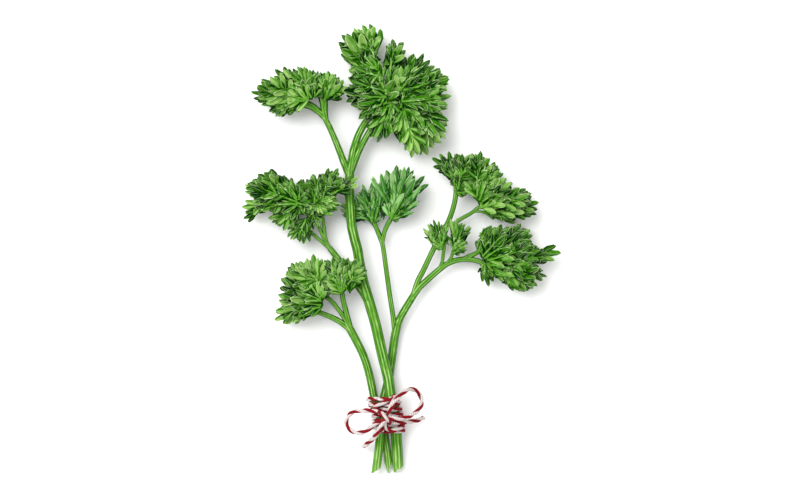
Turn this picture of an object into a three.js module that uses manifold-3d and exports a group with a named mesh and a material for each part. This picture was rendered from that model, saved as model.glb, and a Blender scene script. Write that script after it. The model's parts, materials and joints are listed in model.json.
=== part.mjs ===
// Curly parsley bunch, lying on its side: three ribbed stalks tied with two-colour twine.
// Millimetres, +Z up, the leaves towards +Y and the cut ends of the stalks towards -Y.
import * as THREE from 'three';
import { mergeVertices } from 'three/addons/utils/BufferGeometryUtils.js';
import Module from 'manifold-3d';

const wasm = await Module();
wasm.setup();

// Driving dimensions
const GAP = 0.3;
const CHANNEL_GAP = 0.55;
const TWINE_DIAMETER = 2.1;
const TIE_PLACE = -74;
const TIE_TURNS = 6;
const TIE_PITCH = 2.65;
const STALK_RIBS = 5;
const RIB_SHARE = 0.06;
const RIBBED_FROM = 1.5;
const PLAIN_SIDES = 6;
const STALK_STEP = 8;
const CORE_SHARE = 0.6;
const CORE_LONGER = 0.2;
const CORE_BACK = 0.12;
const INNER_SHARE = 0.3;
const SMALLEST_REACH = 0.9;
const FIRST_BLADE = -0.7;
const LAST_BLADE = 0.98;
const TURN_SPREAD = 0.7;
const LEAN_OUT = 0.5;
const BLADE_WIDTH = 5.7;
const BLADE_THICKNESS = 1.1;
const BLADE_FOLD = 0.3;
const BLADE_FORWARD = 0.4;
const BLADE_AREA = 78;
const NARROW_BLADE_WIDTH = 4.2;
const NARROW_BLADE_AREA = 46;
const GOLDEN_ANGLE = 2.39996;
const UNDERSIDE = -0.4;
const SMALLEST_GRAIN = 0.15;

const STALK_GREEN = new THREE.MeshStandardMaterial({ color: '#71a344', roughness: 0.5, metalness: 0 });
const LEAF_GREEN = new THREE.MeshStandardMaterial({ color: '#4f8a30', roughness: 0.6, metalness: 0 });
const TWINE_RED = new THREE.MeshStandardMaterial({ color: '#a3484c', roughness: 0.9, metalness: 0 });

const bunch = new THREE.Group();

// The same numbers come from the same seed, so the leaves always grow alike.
function seededRandom(seed) {
  let state = seed;
  return () => {
    state = (state * 1664525 + 1013904223) % 4294967296;
    return state / 4294967296;
  };
}

// A closed three.js geometry as a solid that can be joined and cut.
function solidOf(geometry) {
  const bare = geometry.clone();
  bare.deleteAttribute('normal');
  bare.deleteAttribute('uv');
  const merged = mergeVertices(bare, 1e-5);
  return new wasm.Manifold(new wasm.Mesh({
    numProp: 3,
    vertProperties: merged.attributes.position.array,
    triVerts: new Uint32Array(merged.index.array),
  }));
}

// The main body of a solid: scraps that a cut left loose are dropped.
function mainBody(solid) {
  const bodies = solid.simplify(SMALLEST_GRAIN).decompose();
  return bodies.reduce((best, body) => (body.volume() > best.volume() ? body : best));
}

function addPiece(name, solid, material) {
  const mesh = mainBody(solid).getMesh();
  const geometry = new THREE.BufferGeometry();
  geometry.setAttribute('position', new THREE.BufferAttribute(mesh.vertProperties, mesh.numProp));
  geometry.setIndex(new THREE.BufferAttribute(mesh.triVerts, 1));
  geometry.computeVertexNormals();
  const piece = new THREE.Mesh(geometry, material);
  piece.name = name;
  bunch.add(piece);
}

function vector(point) {
  return new THREE.Vector3(...point);
}

function smoothCurve(route) {
  return new THREE.CatmullRomCurve3(route.map(vector), false, 'centripetal');
}

// Stalks: a cylinder bent along its route, thinner towards the leaves, with ribs where it is thick.
// grown is how much larger it is made all round, for the channel that it lies in.
function stalk({ route, base, end }, grown = 0) {
  const curve = smoothCurve(route);
  const steps = Math.max(2, Math.round(curve.getLength() / STALK_STEP));
  const frames = curve.computeFrenetFrames(steps, false);
  const ribs = base > RIBBED_FROM && grown === 0 ? STALK_RIBS : 0;
  const geometry = new THREE.CylinderGeometry(1, 1, 1, ribs ? ribs * 2 : PLAIN_SIDES, steps);
  const corner = geometry.attributes.position;
  for (let i = 0; i < corner.count; i += 1) {
    const step = Math.round((corner.getY(i) + 0.5) * steps);
    const share = step / steps;
    const angle = Math.atan2(corner.getZ(i), corner.getX(i));
    const reach = Math.hypot(corner.getX(i), corner.getZ(i));
    const ribbed = ribs || grown ? 1 + RIB_SHARE * Math.cos(ribs * angle) : 1;
    const radius = reach * ((base + (end - base) * share) * ribbed + grown);
    const overrun = step === 0 ? -grown : step === steps ? grown : 0;
    const place = curve.getPointAt(share)
      .addScaledVector(frames.tangents[step], overrun)
      .addScaledVector(frames.normals[step], radius * Math.cos(angle))
      .addScaledVector(frames.binormals[step], -radius * Math.sin(angle));
    corner.setXYZ(i, place.x, place.y, place.z);
  }
  return solidOf(geometry);
}

function joinedStalks(parts, grown = 0) {
  return wasm.Manifold.union(parts.map((part) => stalk(part, grown)));
}

// The middle stalk goes up to the crown, with a branch to each head on the left.
const MAIN_STALK = [
  { base: 2.5, end: 2.8, route: [[-1, -99, 3.2], [-2, -86, 6.3], [-3.2, -74, 9.4], [-3.9, -70, 11.1],
    [-4.7, -66, 11.5], [-6.2, -57, 10.2], [-8.5, -47, 10], [-11.3, -33, 9.7], [-13.6, -20.5, 9.4]] },
  { base: 2.75, end: 2.3, route: [[-13, -23, 9.5], [-15.7, -11.6, 9.3], [-18.8, -1, 9.2], [-20.6, 9.5, 9.2],
    [-21.9, 20.5, 9.2], [-22.6, 28, 9], [-22.3, 35.5, 9]] },
  { base: 1.7, end: 1.2, route: [[-22.5, 32.5, 9], [-25, 38.5, 9], [-28.5, 47.5, 8.8], [-32, 55.5, 8.8],
    [-34.5, 60, 9]] },
  { base: 1.1, end: 0.9, route: [[-33.5, 58.5, 8.9], [-36.5, 63.5, 9], [-39, 67, 9.4], [-41.5, 69, 9.6]] },
  { base: 1.1, end: 0.9, route: [[-33.5, 58.5, 8.9], [-33.5, 64, 9.2], [-32.5, 67, 9.4],
    [-32.3, 70.5, 9.6]] },
  { base: 1.8, end: 1.4, route: [[-22.5, 34, 9], [-21, 46, 9], [-18, 54, 9.2], [-12.5, 61, 9.8],
    [-7, 67, 10.5]] },
  { base: 1.6, end: 1.2, route: [[-21.8, 35, 9], [-18, 44.5, 9], [-14.5, 51, 9], [-9.5, 59, 9.5],
    [-5.5, 65, 10.5]] },
  { base: 1.9, end: 1.4, route: [[-12.9, -24, 9.3], [-16.2, -17, 8.4], [-21.5, -11, 7.6], [-29, -2.5, 7.4],
    [-32.7, 2.3, 7.5]] },
  { base: 0.95, end: 0.8, route: [[-31.5, 1.5, 7.4], [-34.5, 7, 8], [-37, 14.5, 9.4], [-39, 17.5, 10]] },
  { base: 0.95, end: 0.8, route: [[-31.5, 1.5, 7.4], [-32.5, 7.5, 8], [-35, 17.5, 10.2]] },
  { base: 0.95, end: 0.8, route: [[-31, 1, 7.4], [-35.5, 6, 7], [-38.5, 8.5, 7]] },
];

// The left stalk crosses under the right one at the tie and ends in two low heads.
const LEFT_STALK = [
  { base: 1.7, end: 1.7, route: [[-5.8, -99, 2], [-6.8, -87.5, 5], [-8.9, -74, 5], [-11.6, -70, 4.9],
    [-13.1, -65, 5], [-14, -57.5, 5.8], [-16, -48.5, 6.8], [-19.5, -40.5, 7.4], [-23, -34.5, 7.9],
    [-25.5, -31.5, 8]] },
  { base: 1.1, end: 0.9, route: [[-23.5, -34, 7.9], [-29.5, -30, 8.6], [-34, -28, 9], [-37.5, -26.6, 9.3]] },
  { base: 1.1, end: 0.9, route: [[-25, -32, 8], [-30, -24, 9], [-33, -21.5, 9.3], [-36.5, -19.5, 9.6]] },
  { base: 1.1, end: 0.9, route: [[-24, -33.5, 7.9], [-25, -24, 9.6], [-26, -18.5, 11.2],
    [-26.5, -15.5, 11.7]] },
];

// The right stalk dips under the middle one above the tie and carries the leaves on the right.
const RIGHT_STALK = [
  { base: 2.1, end: 1.8, route: [[-11, -99, 5.4], [-10, -86, 8.8], [-8.9, -74, 9.5], [-8.1, -70, 8.5],
    [-7.1, -66, 5.7], [-5.2, -57.5, 4.3], [-4, -47.5, 4.4], [-2.5, -39, 5.2], [-1.5, -34.5, 5.6]] },
  { base: 1.15, end: 0.9, route: [[-2, -36, 5.4], [-3, -31, 5.8], [-4.5, -20.5, 6], [-6, -10.5, 6],
    [-7.5, 0, 6.5], [-8.5, 5.5, 6.8]] },
  { base: 0.8, end: 0.7, route: [[-8, 3.5, 6.7], [-12, 10.5, 5.4], [-16, 14.5, 4.4]] },
  { base: 0.8, end: 0.7, route: [[-8, 3.5, 6.7], [-10.5, 9, 6.8], [-12, 13, 7]] },
  { base: 0.85, end: 0.7, route: [[-8, 3.5, 6.7], [-6.5, 9, 7.4], [-4, 13, 8], [-2.2, 16.5, 8.3]] },
  { base: 1.7, end: 1.5, route: [[-2, -36, 5.5], [0, -28.5, 6], [4, -21.5, 6.4], [7.5, -16, 6.6]] },
  { base: 1.3, end: 1.1, route: [[6, -18.5, 6.5], [10.5, -9, 6.4], [14, -2, 6.4], [17.5, 5, 6.4],
    [21.5, 12, 6.8], [23.5, 16.5, 7.6], [25, 22, 8.8], [27, 25.5, 9.4]] },
  { base: 0.95, end: 0.8, route: [[20.5, 10, 6.7], [25, 11, 6], [29.5, 14.5, 6.4], [34, 16.5, 7.4],
    [36.6, 18.2, 8], [39.5, 19, 8.8]] },
  { base: 1.3, end: 1, route: [[6, -18.5, 6.5], [8.5, -16, 6.6], [13.5, -11, 7], [18.5, -7.5, 7.4],
    [22.5, -5.5, 7.8], [28, -4.5, 8], [32.5, -5, 8.4], [37.5, -6, 9], [42.5, -6.2, 9.4]] },
  { base: 0.8, end: 0.7, route: [[28, -4.5, 8], [31.5, -2.5, 8.5], [35, -2.8, 9], [38, -0.5, 9.4]] },
  { base: 0.8, end: 0.7, route: [[17, -8.5, 7.3], [18.5, -4.5, 8.8], [19, -1.5, 10.4], [18.2, 2, 11.2]] },
  { base: 0.8, end: 0.7, route: [[20, -6.5, 7.6], [22.5, -4, 9], [24, -1.5, 10.4], [24.8, 2, 11.3]] },
];

// Leaves: an ellipsoid core set along the sprig, turned so that its length runs from root to tip.
function ellipsoid(centre, basis, half, detail) {
  const geometry = new THREE.IcosahedronGeometry(1, detail);
  geometry.scale(...half);
  geometry.applyMatrix4(basis);
  geometry.translate(centre.x, centre.y, centre.z);
  return solidOf(geometry);
}

// One curled lobe of a leaf: a thin blade, folded along its rib and widest past its middle.
function blade(root, tip, upward, width) {
  const along = tip.clone().sub(root);
  const half = along.length() / 2;
  along.normalize();
  const across = along.clone().cross(upward).normalize();
  const up = across.clone().cross(along);
  const geometry = new THREE.OctahedronGeometry(1);
  const corner = geometry.attributes.position;
  for (let i = 0; i < corner.count; i += 1) {
    const fold = BLADE_FOLD * width * Math.abs(corner.getX(i));
    const forward = BLADE_FORWARD * half * Math.abs(corner.getX(i));
    corner.setXYZ(
      i,
      corner.getX(i) * width / 2,
      corner.getY(i) * half + forward,
      corner.getZ(i) * BLADE_THICKNESS / 2 + fold,
    );
  }
  geometry.applyMatrix4(new THREE.Matrix4().makeBasis(across, along, up));
  const middle = root.clone().add(tip).multiplyScalar(0.5);
  geometry.translate(middle.x, middle.y, middle.z);
  return solidOf(geometry);
}

// A sprig's outline is an ellipsoid whose length runs from its root to its tip.
function sprigOutline({ root, tip, wide, deep }) {
  const start = vector(root);
  const along = vector(tip).sub(start);
  const half = vector([wide / 2, along.length() / 2, deep / 2]);
  const centre = start.addScaledVector(along, 0.5);
  along.normalize();
  const across = along.clone().cross(new THREE.Vector3(0, 0, 1)).normalize();
  const basis = new THREE.Matrix4().makeBasis(across, along, across.clone().cross(along));
  const inverse = basis.clone().invert();
  return {
    half,
    centre,
    along,
    basis,
    point: (direction, share) => direction.clone().multiply(half).multiplyScalar(share)
      .applyMatrix4(basis).add(centre),
    depth: (point) => point.clone().sub(centre).applyMatrix4(inverse).divide(half).length(),
  };
}

// A sprig: a small core with curled lobes that stand out of it all round, up to its outline.
// Lobes that would end inside a neighbouring sprig are left out.
function sprig(outline, others, narrow, random) {
  const { half, centre, along, basis } = outline;
  const core = half.clone().multiplyScalar(CORE_SHARE).add(vector([0, half.y * CORE_LONGER, 0]));
  const pieces = [ellipsoid(centre.clone().addScaledVector(along, -half.y * CORE_BACK), basis, core, 0)];
  const surface = (half.x * half.y + half.y * half.z + half.z * half.x) * 4 * Math.PI / 3;
  const count = Math.round(surface / (narrow ? NARROW_BLADE_AREA : BLADE_AREA));
  for (let i = 0; i < count; i += 1) {
    const forward = FIRST_BLADE + (LAST_BLADE - FIRST_BLADE) * (i + 0.5) / count;
    const turn = i * GOLDEN_ANGLE + random() * TURN_SPREAD;
    const ring = Math.sqrt(1 - forward * forward);
    const direction = vector([ring * Math.cos(turn), forward, ring * Math.sin(turn)]);
    const tip = outline.point(direction, SMALLEST_REACH + (1 - SMALLEST_REACH) * random());
    const upward = vector([random() - 0.5, random() - 0.5, 1.1])
      .addScaledVector(direction.clone().applyMatrix4(basis), -LEAN_OUT);
    if (direction.z < UNDERSIDE || others.some((other) => other.depth(tip) < SMALLEST_REACH)) continue;
    const root = outline.point(direction, INNER_SHARE).addScaledVector(along, -half.y * CORE_LONGER);
    pieces.push(blade(root, tip, upward, narrow ? NARROW_BLADE_WIDTH : BLADE_WIDTH));
  }
  return wasm.Manifold.union(pieces);
}

// The thick middle of a head, where its branches meet, reaches down to the surface.
function heart({ centre, half }) {
  return ellipsoid(vector(centre), new THREE.Matrix4(), half, 1);
}

// Flat bounds between neighbouring heads: a point on each, and the direction that it faces.
const ABOVE_UPPER_RIGHT = [[18.3, 43.5, 0], [-0.447, 0.894, 0]];
const BELOW_UPPER_LEFT = [[-28, 68.7, 0], [0.524, -0.852, 0]];
const BESIDE_UPPER_LEFT = [[-23.2, 75.4, 0], [1, -0.1, 0]];
const OVER_LOW_LEFT = [[-40, -0.6, 0], [0, 1, 0]];
const OVER_CENTRE = [[-19, 25, 11], [-0.5, 0, 1]];
const RIGHT_OF_LOW_LEFT = [[-34.8, -3.1, 0], [0.98, 0.18, 0]];
const OVER_CENTRE_LEFT = [[0, 0, 4.9], [0, 0, 1]];
const RIGHT_OF_CENTRE = [[-7.1, 9.4, 0], [0.985, -0.17, 0]];
const LEFT_OF_UPPER_RIGHT = [[9.8, 39, 0], [0.82, 0.57, 0]];
const OVER_LOWER_RIGHT = [[46, 12.4, 0], [0, 1, 0]];
const LEFT_OF_LOWER_RIGHT = [[34, 5, 0], [1, -0.1, 0]];
const RIGHT_OF_SMALL_LEFT = [[21.7, 5, 0], [1, 0, 0]];

// The same bound, for the head that lies on its far side (1) or on its near side (-1).
function facing([point, direction], side) {
  return [point, direction.map((part) => part * side)];
}

function trim(solid, [point, direction]) {
  const normal = vector(direction).normalize();
  return solid.trimByPlane(normal.toArray(), vector(point).dot(normal) + GAP / 2);
}

// A head: its sprigs and heart in one piece, flat where it rests, clear of stalks and neighbours.
function head(name, { hearts = [], sprigs, bounds = [] }, seed) {
  const random = seededRandom(seed);
  const outlines = sprigs.map(sprigOutline);
  const grown = outlines.map((outline, i) => {
    const others = outlines.filter((other) => other !== outline);
    const solid = sprig(outline, others, sprigs[i].narrow, random);
    return sprigs[i].bound ? trim(solid, sprigs[i].bound) : solid;
  });
  let solid = wasm.Manifold.union([...hearts.map(heart), ...grown]);
  solid = solid.trimByPlane([0, 0, 1], 0);
  for (const bound of bounds) solid = trim(solid, bound);
  addPiece(name, solid.subtract(stalkChannels), LEAF_GREEN);
}

const HEADS = {
  head_crown: {
    hearts: [{ centre: [-3, 69, 8], half: [12, 11, 9] }],
    sprigs: [
      { root: [-10.5, 73.5, 13], tip: [-32.5, 89, 10], wide: 15, deep: 22 },
      { root: [-10, 75.5, 13], tip: [-17.5, 101, 10], wide: 17, deep: 22 },
      { root: [-6, 73.5, 13], tip: [-2.5, 97.5, 10], wide: 10.5, deep: 20 },
      { root: [-2.5, 72, 13], tip: [11, 90.5, 10], wide: 15, deep: 21 },
      { root: [-2, 70, 13], tip: [23.5, 77.5, 10], wide: 16, deep: 23 },
      { root: [-2, 68, 13], tip: [24, 64.5, 10], wide: 16, deep: 23 },
      { root: [-1, 66.5, 13], tip: [22, 48, 10], wide: 17, deep: 21 },
      { root: [-2, 64.5, 13], tip: [6, 38.5, 9.5], wide: 19.5, deep: 21 },
      { root: [-5.5, 64.5, 13], tip: [-10.5, 43.5, 10], wide: 10.5, deep: 20 },
      { root: [-7, 65.5, 13], tip: [-26, 58.5, 12], wide: 10.5, deep: 16, bound: BELOW_UPPER_LEFT },
      { root: [-7, 67.5, 13], tip: [-30.5, 68, 12], wide: 12.5, deep: 18, bound: BELOW_UPPER_LEFT },
      { root: [-8, 71, 13], tip: [-24, 83, 12], wide: 10, deep: 18, bound: BESIDE_UPPER_LEFT },
      { root: [-7, 64, 8], tip: [-5.5, 70, 24], wide: 19.5, deep: 24 },
    ],
    bounds: [facing(ABOVE_UPPER_RIGHT, 1), [[0, 39.3, 0], [0, 1, 0]]],
  },
  head_upper_left: {
    hearts: [{ centre: [-44, 69, 7], half: [9, 6, 8] }, { centre: [-35, 72, 9], half: [7, 5, 7] }],
    sprigs: [
      { root: [-37.5, 66.5, 10], tip: [-66.5, 72.5, 9.5], wide: 18, deep: 21 },
      { root: [-37.5, 65, 10], tip: [-61.5, 60, 9], wide: 11.5, deep: 18 },
      { root: [-36.5, 66.5, 10], tip: [-48.5, 82, 10], wide: 15, deep: 20 },
      { root: [-33.5, 67.5, 10], tip: [-36.5, 81, 10], wide: 10, deep: 18 },
      { root: [-32.5, 67.5, 10], tip: [-23.5, 78.5, 9], wide: 10, deep: 15 },
      { root: [-39, 64.5, 10], tip: [-50.5, 57.5, 8], wide: 8, deep: 15 },
    ],
    bounds: [facing(BELOW_UPPER_LEFT, -1), facing(BESIDE_UPPER_LEFT, -1)],
  },
  head_mid_left: {
    hearts: [{ centre: [-48, 21, 7], half: [10, 8, 8] }],
    sprigs: [
      { root: [-43, 19, 11], tip: [-73.5, 23.5, 10], wide: 19.5, deep: 22 },
      { root: [-43.5, 20, 11], tip: [-62.5, 36.5, 10], wide: 16, deep: 21 },
      { root: [-42, 19, 11], tip: [-43.5, 36, 10.5], wide: 16, deep: 21 },
      { root: [-39.5, 19, 12], tip: [-25, 36.5, 12], wide: 15, deep: 16 },
      { root: [-37.5, 19, 12.5], tip: [-17.5, 31, 17], wide: 8, deep: 9 },
      { root: [-38.5, 18.5, 12], tip: [-23, 22, 14], wide: 8, deep: 8 },
      { root: [-41, 16.5, 9], tip: [-56, 9.5, 8], wide: 11.5, deep: 16 },
      { root: [-39, 15, 8.5], tip: [-46.5, 2, 7], wide: 13.5, deep: 14 },
      { root: [-44.5, 18.5, 9.5], tip: [-70.5, 14.5, 9], wide: 10, deep: 18 },
    ],
    bounds: [facing(OVER_LOW_LEFT, 1), facing(OVER_CENTRE, 1)],
  },
  leaf_low_left: {
    hearts: [{ centre: [-43, -18, 6.5], half: [7, 8, 7.5] }],
    sprigs: [
      { root: [-34, -27, 10], tip: [-57.5, -28, 9], wide: 11.5, deep: 18 },
      { root: [-35, -25.5, 10], tip: [-55, -18, 10], wide: 13.5, deep: 20 },
      { root: [-35, -23.5, 10], tip: [-51.5, -7.5, 10], wide: 14.5, deep: 20 },
      { root: [-34, -22, 10], tip: [-41.5, -2, 10], wide: 14.5, deep: 20 },
    ],
    bounds: [facing(RIGHT_OF_LOW_LEFT, -1), facing(OVER_LOW_LEFT, -1)],
  },
  leaf_low_middle: {
    sprigs: [
      { root: [-26.5, -19, 11], tip: [-32.5, -2, 13], wide: 11.5, deep: 12 },
      { root: [-25.5, -19, 11.5], tip: [-22.5, -2, 14.5], wide: 11.5, deep: 11 },
      { root: [-25, -18.5, 12.5], tip: [-13.5, -4.5, 17], wide: 7, deep: 7 },
    ],
    bounds: [facing(RIGHT_OF_LOW_LEFT, 1)],
  },
  leaf_centre_left: {
    sprigs: [
      { root: [-14, 14.5, 4.2], tip: [-30, 17.5, 3.4], wide: 10.5, deep: 5.5, narrow: true },
    ],
    bounds: [facing(OVER_CENTRE_LEFT, -1)],
  },
  leaf_centre_middle: {
    sprigs: [
      { root: [-11.5, 11, 6.5], tip: [-20.5, 27, 7], wide: 8, deep: 6, narrow: true },
      { root: [-10.5, 9, 6.5], tip: [-16, 29.5, 8], wide: 10.5, deep: 8, narrow: true },
      { root: [-10.5, 9, 7], tip: [-10, 35.5, 9], wide: 10.5, deep: 8, narrow: true },
    ],
    bounds: [facing(OVER_CENTRE_LEFT, 1), facing(RIGHT_OF_CENTRE, -1), facing(OVER_CENTRE, -1)],
  },
  leaf_centre_right: {
    sprigs: [
      { root: [-4, 12.5, 8], tip: [-1, 39, 9.5], wide: 10.5, deep: 11, narrow: true },
      { root: [-3.5, 12.5, 8], tip: [9, 38.5, 9], wide: 10.5, deep: 12, narrow: true },
      { root: [-3.5, 13, 8], tip: [12.5, 30, 8.5], wide: 9, deep: 11, narrow: true },
      { root: [-3, 13, 7.5], tip: [9, 18.5, 6.5], wide: 6.5, deep: 8, narrow: true },
    ],
    bounds: [facing(RIGHT_OF_CENTRE, 1), facing(LEFT_OF_UPPER_RIGHT, -1), [[0, 39.3, 0], [0, -1, 0]]],
  },
  head_upper_right: {
    hearts: [{ centre: [35, 29, 7], half: [8, 6, 8] }],
    sprigs: [
      { root: [28, 27, 9.5], tip: [10.5, 39.5, 9], wide: 8, deep: 15 },
      { root: [28, 26, 9.5], tip: [22.5, 44.5, 9.5], wide: 13.5, deep: 19 },
      { root: [30.5, 26, 10], tip: [35, 45, 9.5], wide: 16, deep: 20 },
      { root: [32.5, 25.5, 10], tip: [47.5, 38.5, 9.5], wide: 16, deep: 20 },
      { root: [35, 22.5, 10], tip: [61.5, 27, 9], wide: 13.5, deep: 19 },
      { root: [36, 19, 10], tip: [63.5, 18, 8.5], wide: 10.5, deep: 17 },
      { root: [41, 21, 8.5], tip: [48.5, 11, 6], wide: 7.5, deep: 10 },
    ],
    bounds: [facing(LEFT_OF_UPPER_RIGHT, 1), facing(OVER_LOWER_RIGHT, 1), facing(ABOVE_UPPER_RIGHT, -1)],
  },
  head_lower_right: {
    hearts: [{ centre: [51, -4, 7], half: [11, 8, 8] }, { centre: [40, 0, 9], half: [4.5, 6, 5] }],
    sprigs: [
      { root: [35, -2.5, 9.5], tip: [42, 14.5, 11], wide: 10, deep: 12 },
      { root: [37.5, -4, 9.5], tip: [53.5, 11.5, 10.5], wide: 13.5, deep: 17 },
      { root: [38.5, -5, 10], tip: [65, 8, 10], wide: 13.5, deep: 19 },
      { root: [39, -6, 10], tip: [73, -2.5, 9], wide: 14.5, deep: 20 },
      { root: [39, -6.5, 10], tip: [68.5, -14, 9], wide: 13.5, deep: 19 },
      { root: [39, -7, 9.5], tip: [57, -21, 9], wide: 11.5, deep: 18 },
      { root: [42, -6, 8.5], tip: [37, -18, 6], wide: 8, deep: 11 },
    ],
    bounds: [facing(OVER_LOWER_RIGHT, -1), facing(LEFT_OF_LOWER_RIGHT, 1)],
  },
  leaf_small_left: {
    sprigs: [
      { root: [19.5, -0.5, 10.8], tip: [6, 11.5, 12], wide: 9, deep: 6, narrow: true },
      { root: [19.5, -1, 10.8], tip: [15, 16, 12.5], wide: 9, deep: 7, narrow: true },
      { root: [19, -1.5, 10.8], tip: [10, 2, 11.5], wide: 5.5, deep: 5, narrow: true },
    ],
    bounds: [facing(RIGHT_OF_SMALL_LEFT, -1)],
  },
  leaf_small_right: {
    sprigs: [
      { root: [23.5, -1, 10.8], tip: [25.5, 15.5, 12.5], wide: 8, deep: 6, narrow: true },
      { root: [24, -1, 10.8], tip: [33, 11.5, 12], wide: 8, deep: 7, narrow: true },
      { root: [24.5, -1.5, 10.8], tip: [31, 2.5, 11.5], wide: 5, deep: 5, narrow: true },
    ],
    bounds: [facing(RIGHT_OF_SMALL_LEFT, 1), facing(LEFT_OF_LOWER_RIGHT, -1)],
  },
};

// Twine: the place along a stalk's route at a given distance along the bunch.
function stalkCentre(parts, y) {
  const curve = smoothCurve(parts[0].route);
  let low = 0;
  let high = 1;
  for (let i = 0; i < 30; i += 1) {
    const middle = (low + high) / 2;
    if (curve.getPoint(middle).y < y) low = middle;
    else high = middle;
  }
  return curve.getPoint(low);
}

// The twine lies round the stalks as a band drawn tight would: it touches the outermost stalk.
function bandPoint(y, angle) {
  const reach = new THREE.Vector3(Math.cos(angle), 0, Math.sin(angle));
  const rings = [[MAIN_STALK, 3.05], [LEFT_STALK, 2.45], [RIGHT_STALK, 2.35]].map(([parts, radius]) => {
    const centre = stalkCentre(parts, y);
    return centre.addScaledVector(reach, radius + GAP + TWINE_DIAMETER / 2);
  });
  const outermost = rings.reduce((best, ring) => (ring.dot(reach) > best.dot(reach) ? ring : best));
  return new THREE.Vector3(outermost.x, y, outermost.z);
}

function bindingRoute() {
  const points = [];
  const perTurn = 12;
  for (let i = 0; i <= TIE_TURNS * perTurn; i += 1) {
    const y = TIE_PLACE + TIE_PITCH * (i / perTurn - TIE_TURNS / 2);
    points.push(bandPoint(y, Math.PI / 2 + i * 2 * Math.PI / perTurn).toArray());
  }
  return points;
}

// A round cord along a route, grown all round for the channel that it passes through.
function cord(route, step, sides, grown = 0) {
  const curve = smoothCurve(route);
  const section = new THREE.Shape();
  const radius = TWINE_DIAMETER / 2 + grown;
  for (let i = 0; i < sides; i += 1) {
    const angle = i * 2 * Math.PI / sides;
    if (i === 0) section.moveTo(radius, 0);
    else section.lineTo(radius * Math.cos(angle), radius * Math.sin(angle));
  }
  section.closePath();
  const steps = Math.round(curve.getLength() / step);
  return solidOf(new THREE.ExtrudeGeometry(section, { steps, extrudePath: curve, bevelEnabled: false }));
}

// Each strand of the bow leaves the knot as a loop, comes back through it and ends as a free tail.
const LOW_STRAND = [
  [-9.7, -72.5, 16.6], [-12.5, -72, 15.6], [-17, -72, 13.4], [-20.5, -72.5, 11.2], [-23, -74.5, 9.6],
  [-24, -77.5, 9], [-22.5, -80.5, 9.2], [-19.5, -82, 10.2], [-16, -81.5, 12], [-13, -79.5, 14.2],
  [-10.5, -77.4, 15.9], [-7.5, -76.7, 16.4], [-4.5, -77, 16.5], [-1, -77.2, 15.8], [2, -77.2, 13.2],
  [5, -77, 10], [8, -76.5, 7], [10.5, -75.5, 4.4],
];
const HIGH_STRAND = [
  [-3.8, -71, 18], [-3, -68.5, 18.1], [-0.8, -66, 17.2], [2, -63.5, 14.4], [5, -62.5, 11.8], [7.5, -63.5, 10],
  [9.5, -66.5, 9], [9.5, -69.5, 9.6], [8, -72, 11.4], [5, -74, 14.2], [2, -75, 16.8], [-1, -75.5, 18.5],
  [-4, -75.2, 19.2], [-7, -76.2, 19.2], [-8.8, -79, 18.8], [-10.2, -82, 16.6], [-12, -84.5, 12.6],
  [-13.8, -86.2, 8.6], [-15.3, -87.6, 5.8], [-16.3, -88.5, 4],
];
const BOW_STEP = 2.6;

function knot() {
  const lump = new THREE.IcosahedronGeometry(1, 1);
  lump.scale(4.1, 4.2, 3.1);
  lump.translate(-5.8, -75, 17.2);
  return solidOf(lump);
}

function tie() {
  const channels = wasm.Manifold.union([
    cord(LOW_STRAND, BOW_STEP, 8, GAP * 1.2),
    cord(HIGH_STRAND, BOW_STEP, 8, GAP * 1.2),
  ]);
  const binding = cord(bindingRoute(), 3.1, 6);
  return binding.add(knot().subtract(channels));
}

const stalkChannels = wasm.Manifold.union([MAIN_STALK, LEFT_STALK, RIGHT_STALK]
  .map((parts) => joinedStalks(parts, CHANNEL_GAP)));

addPiece('stalk_middle', joinedStalks(MAIN_STALK), STALK_GREEN);
addPiece('stalk_left', joinedStalks(LEFT_STALK), STALK_GREEN);
addPiece('stalk_right', joinedStalks(RIGHT_STALK), STALK_GREEN);
Object.entries(HEADS).forEach(([name, shape], index) => head(name, shape, 11 + index));
addPiece('twine_binding', tie(), TWINE_RED);
addPiece('bow_left', cord(LOW_STRAND, BOW_STEP, 8), TWINE_RED);
addPiece('bow_right', cord(HIGH_STRAND, BOW_STEP, 8), TWINE_RED);

// The bunch is centred over the origin, resting on the plane z = 0; the free bow is not counted.
const extent = new THREE.Box3();
bunch.children.filter((piece) => !piece.name.startsWith('bow_'))
  .forEach((piece) => extent.expandByObject(piece));
const centre = extent.getCenter(new THREE.Vector3());
bunch.position.set(-centre.x, -centre.y, -extent.min.z);

export default bunch;
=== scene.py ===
import json
import math
import random

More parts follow.
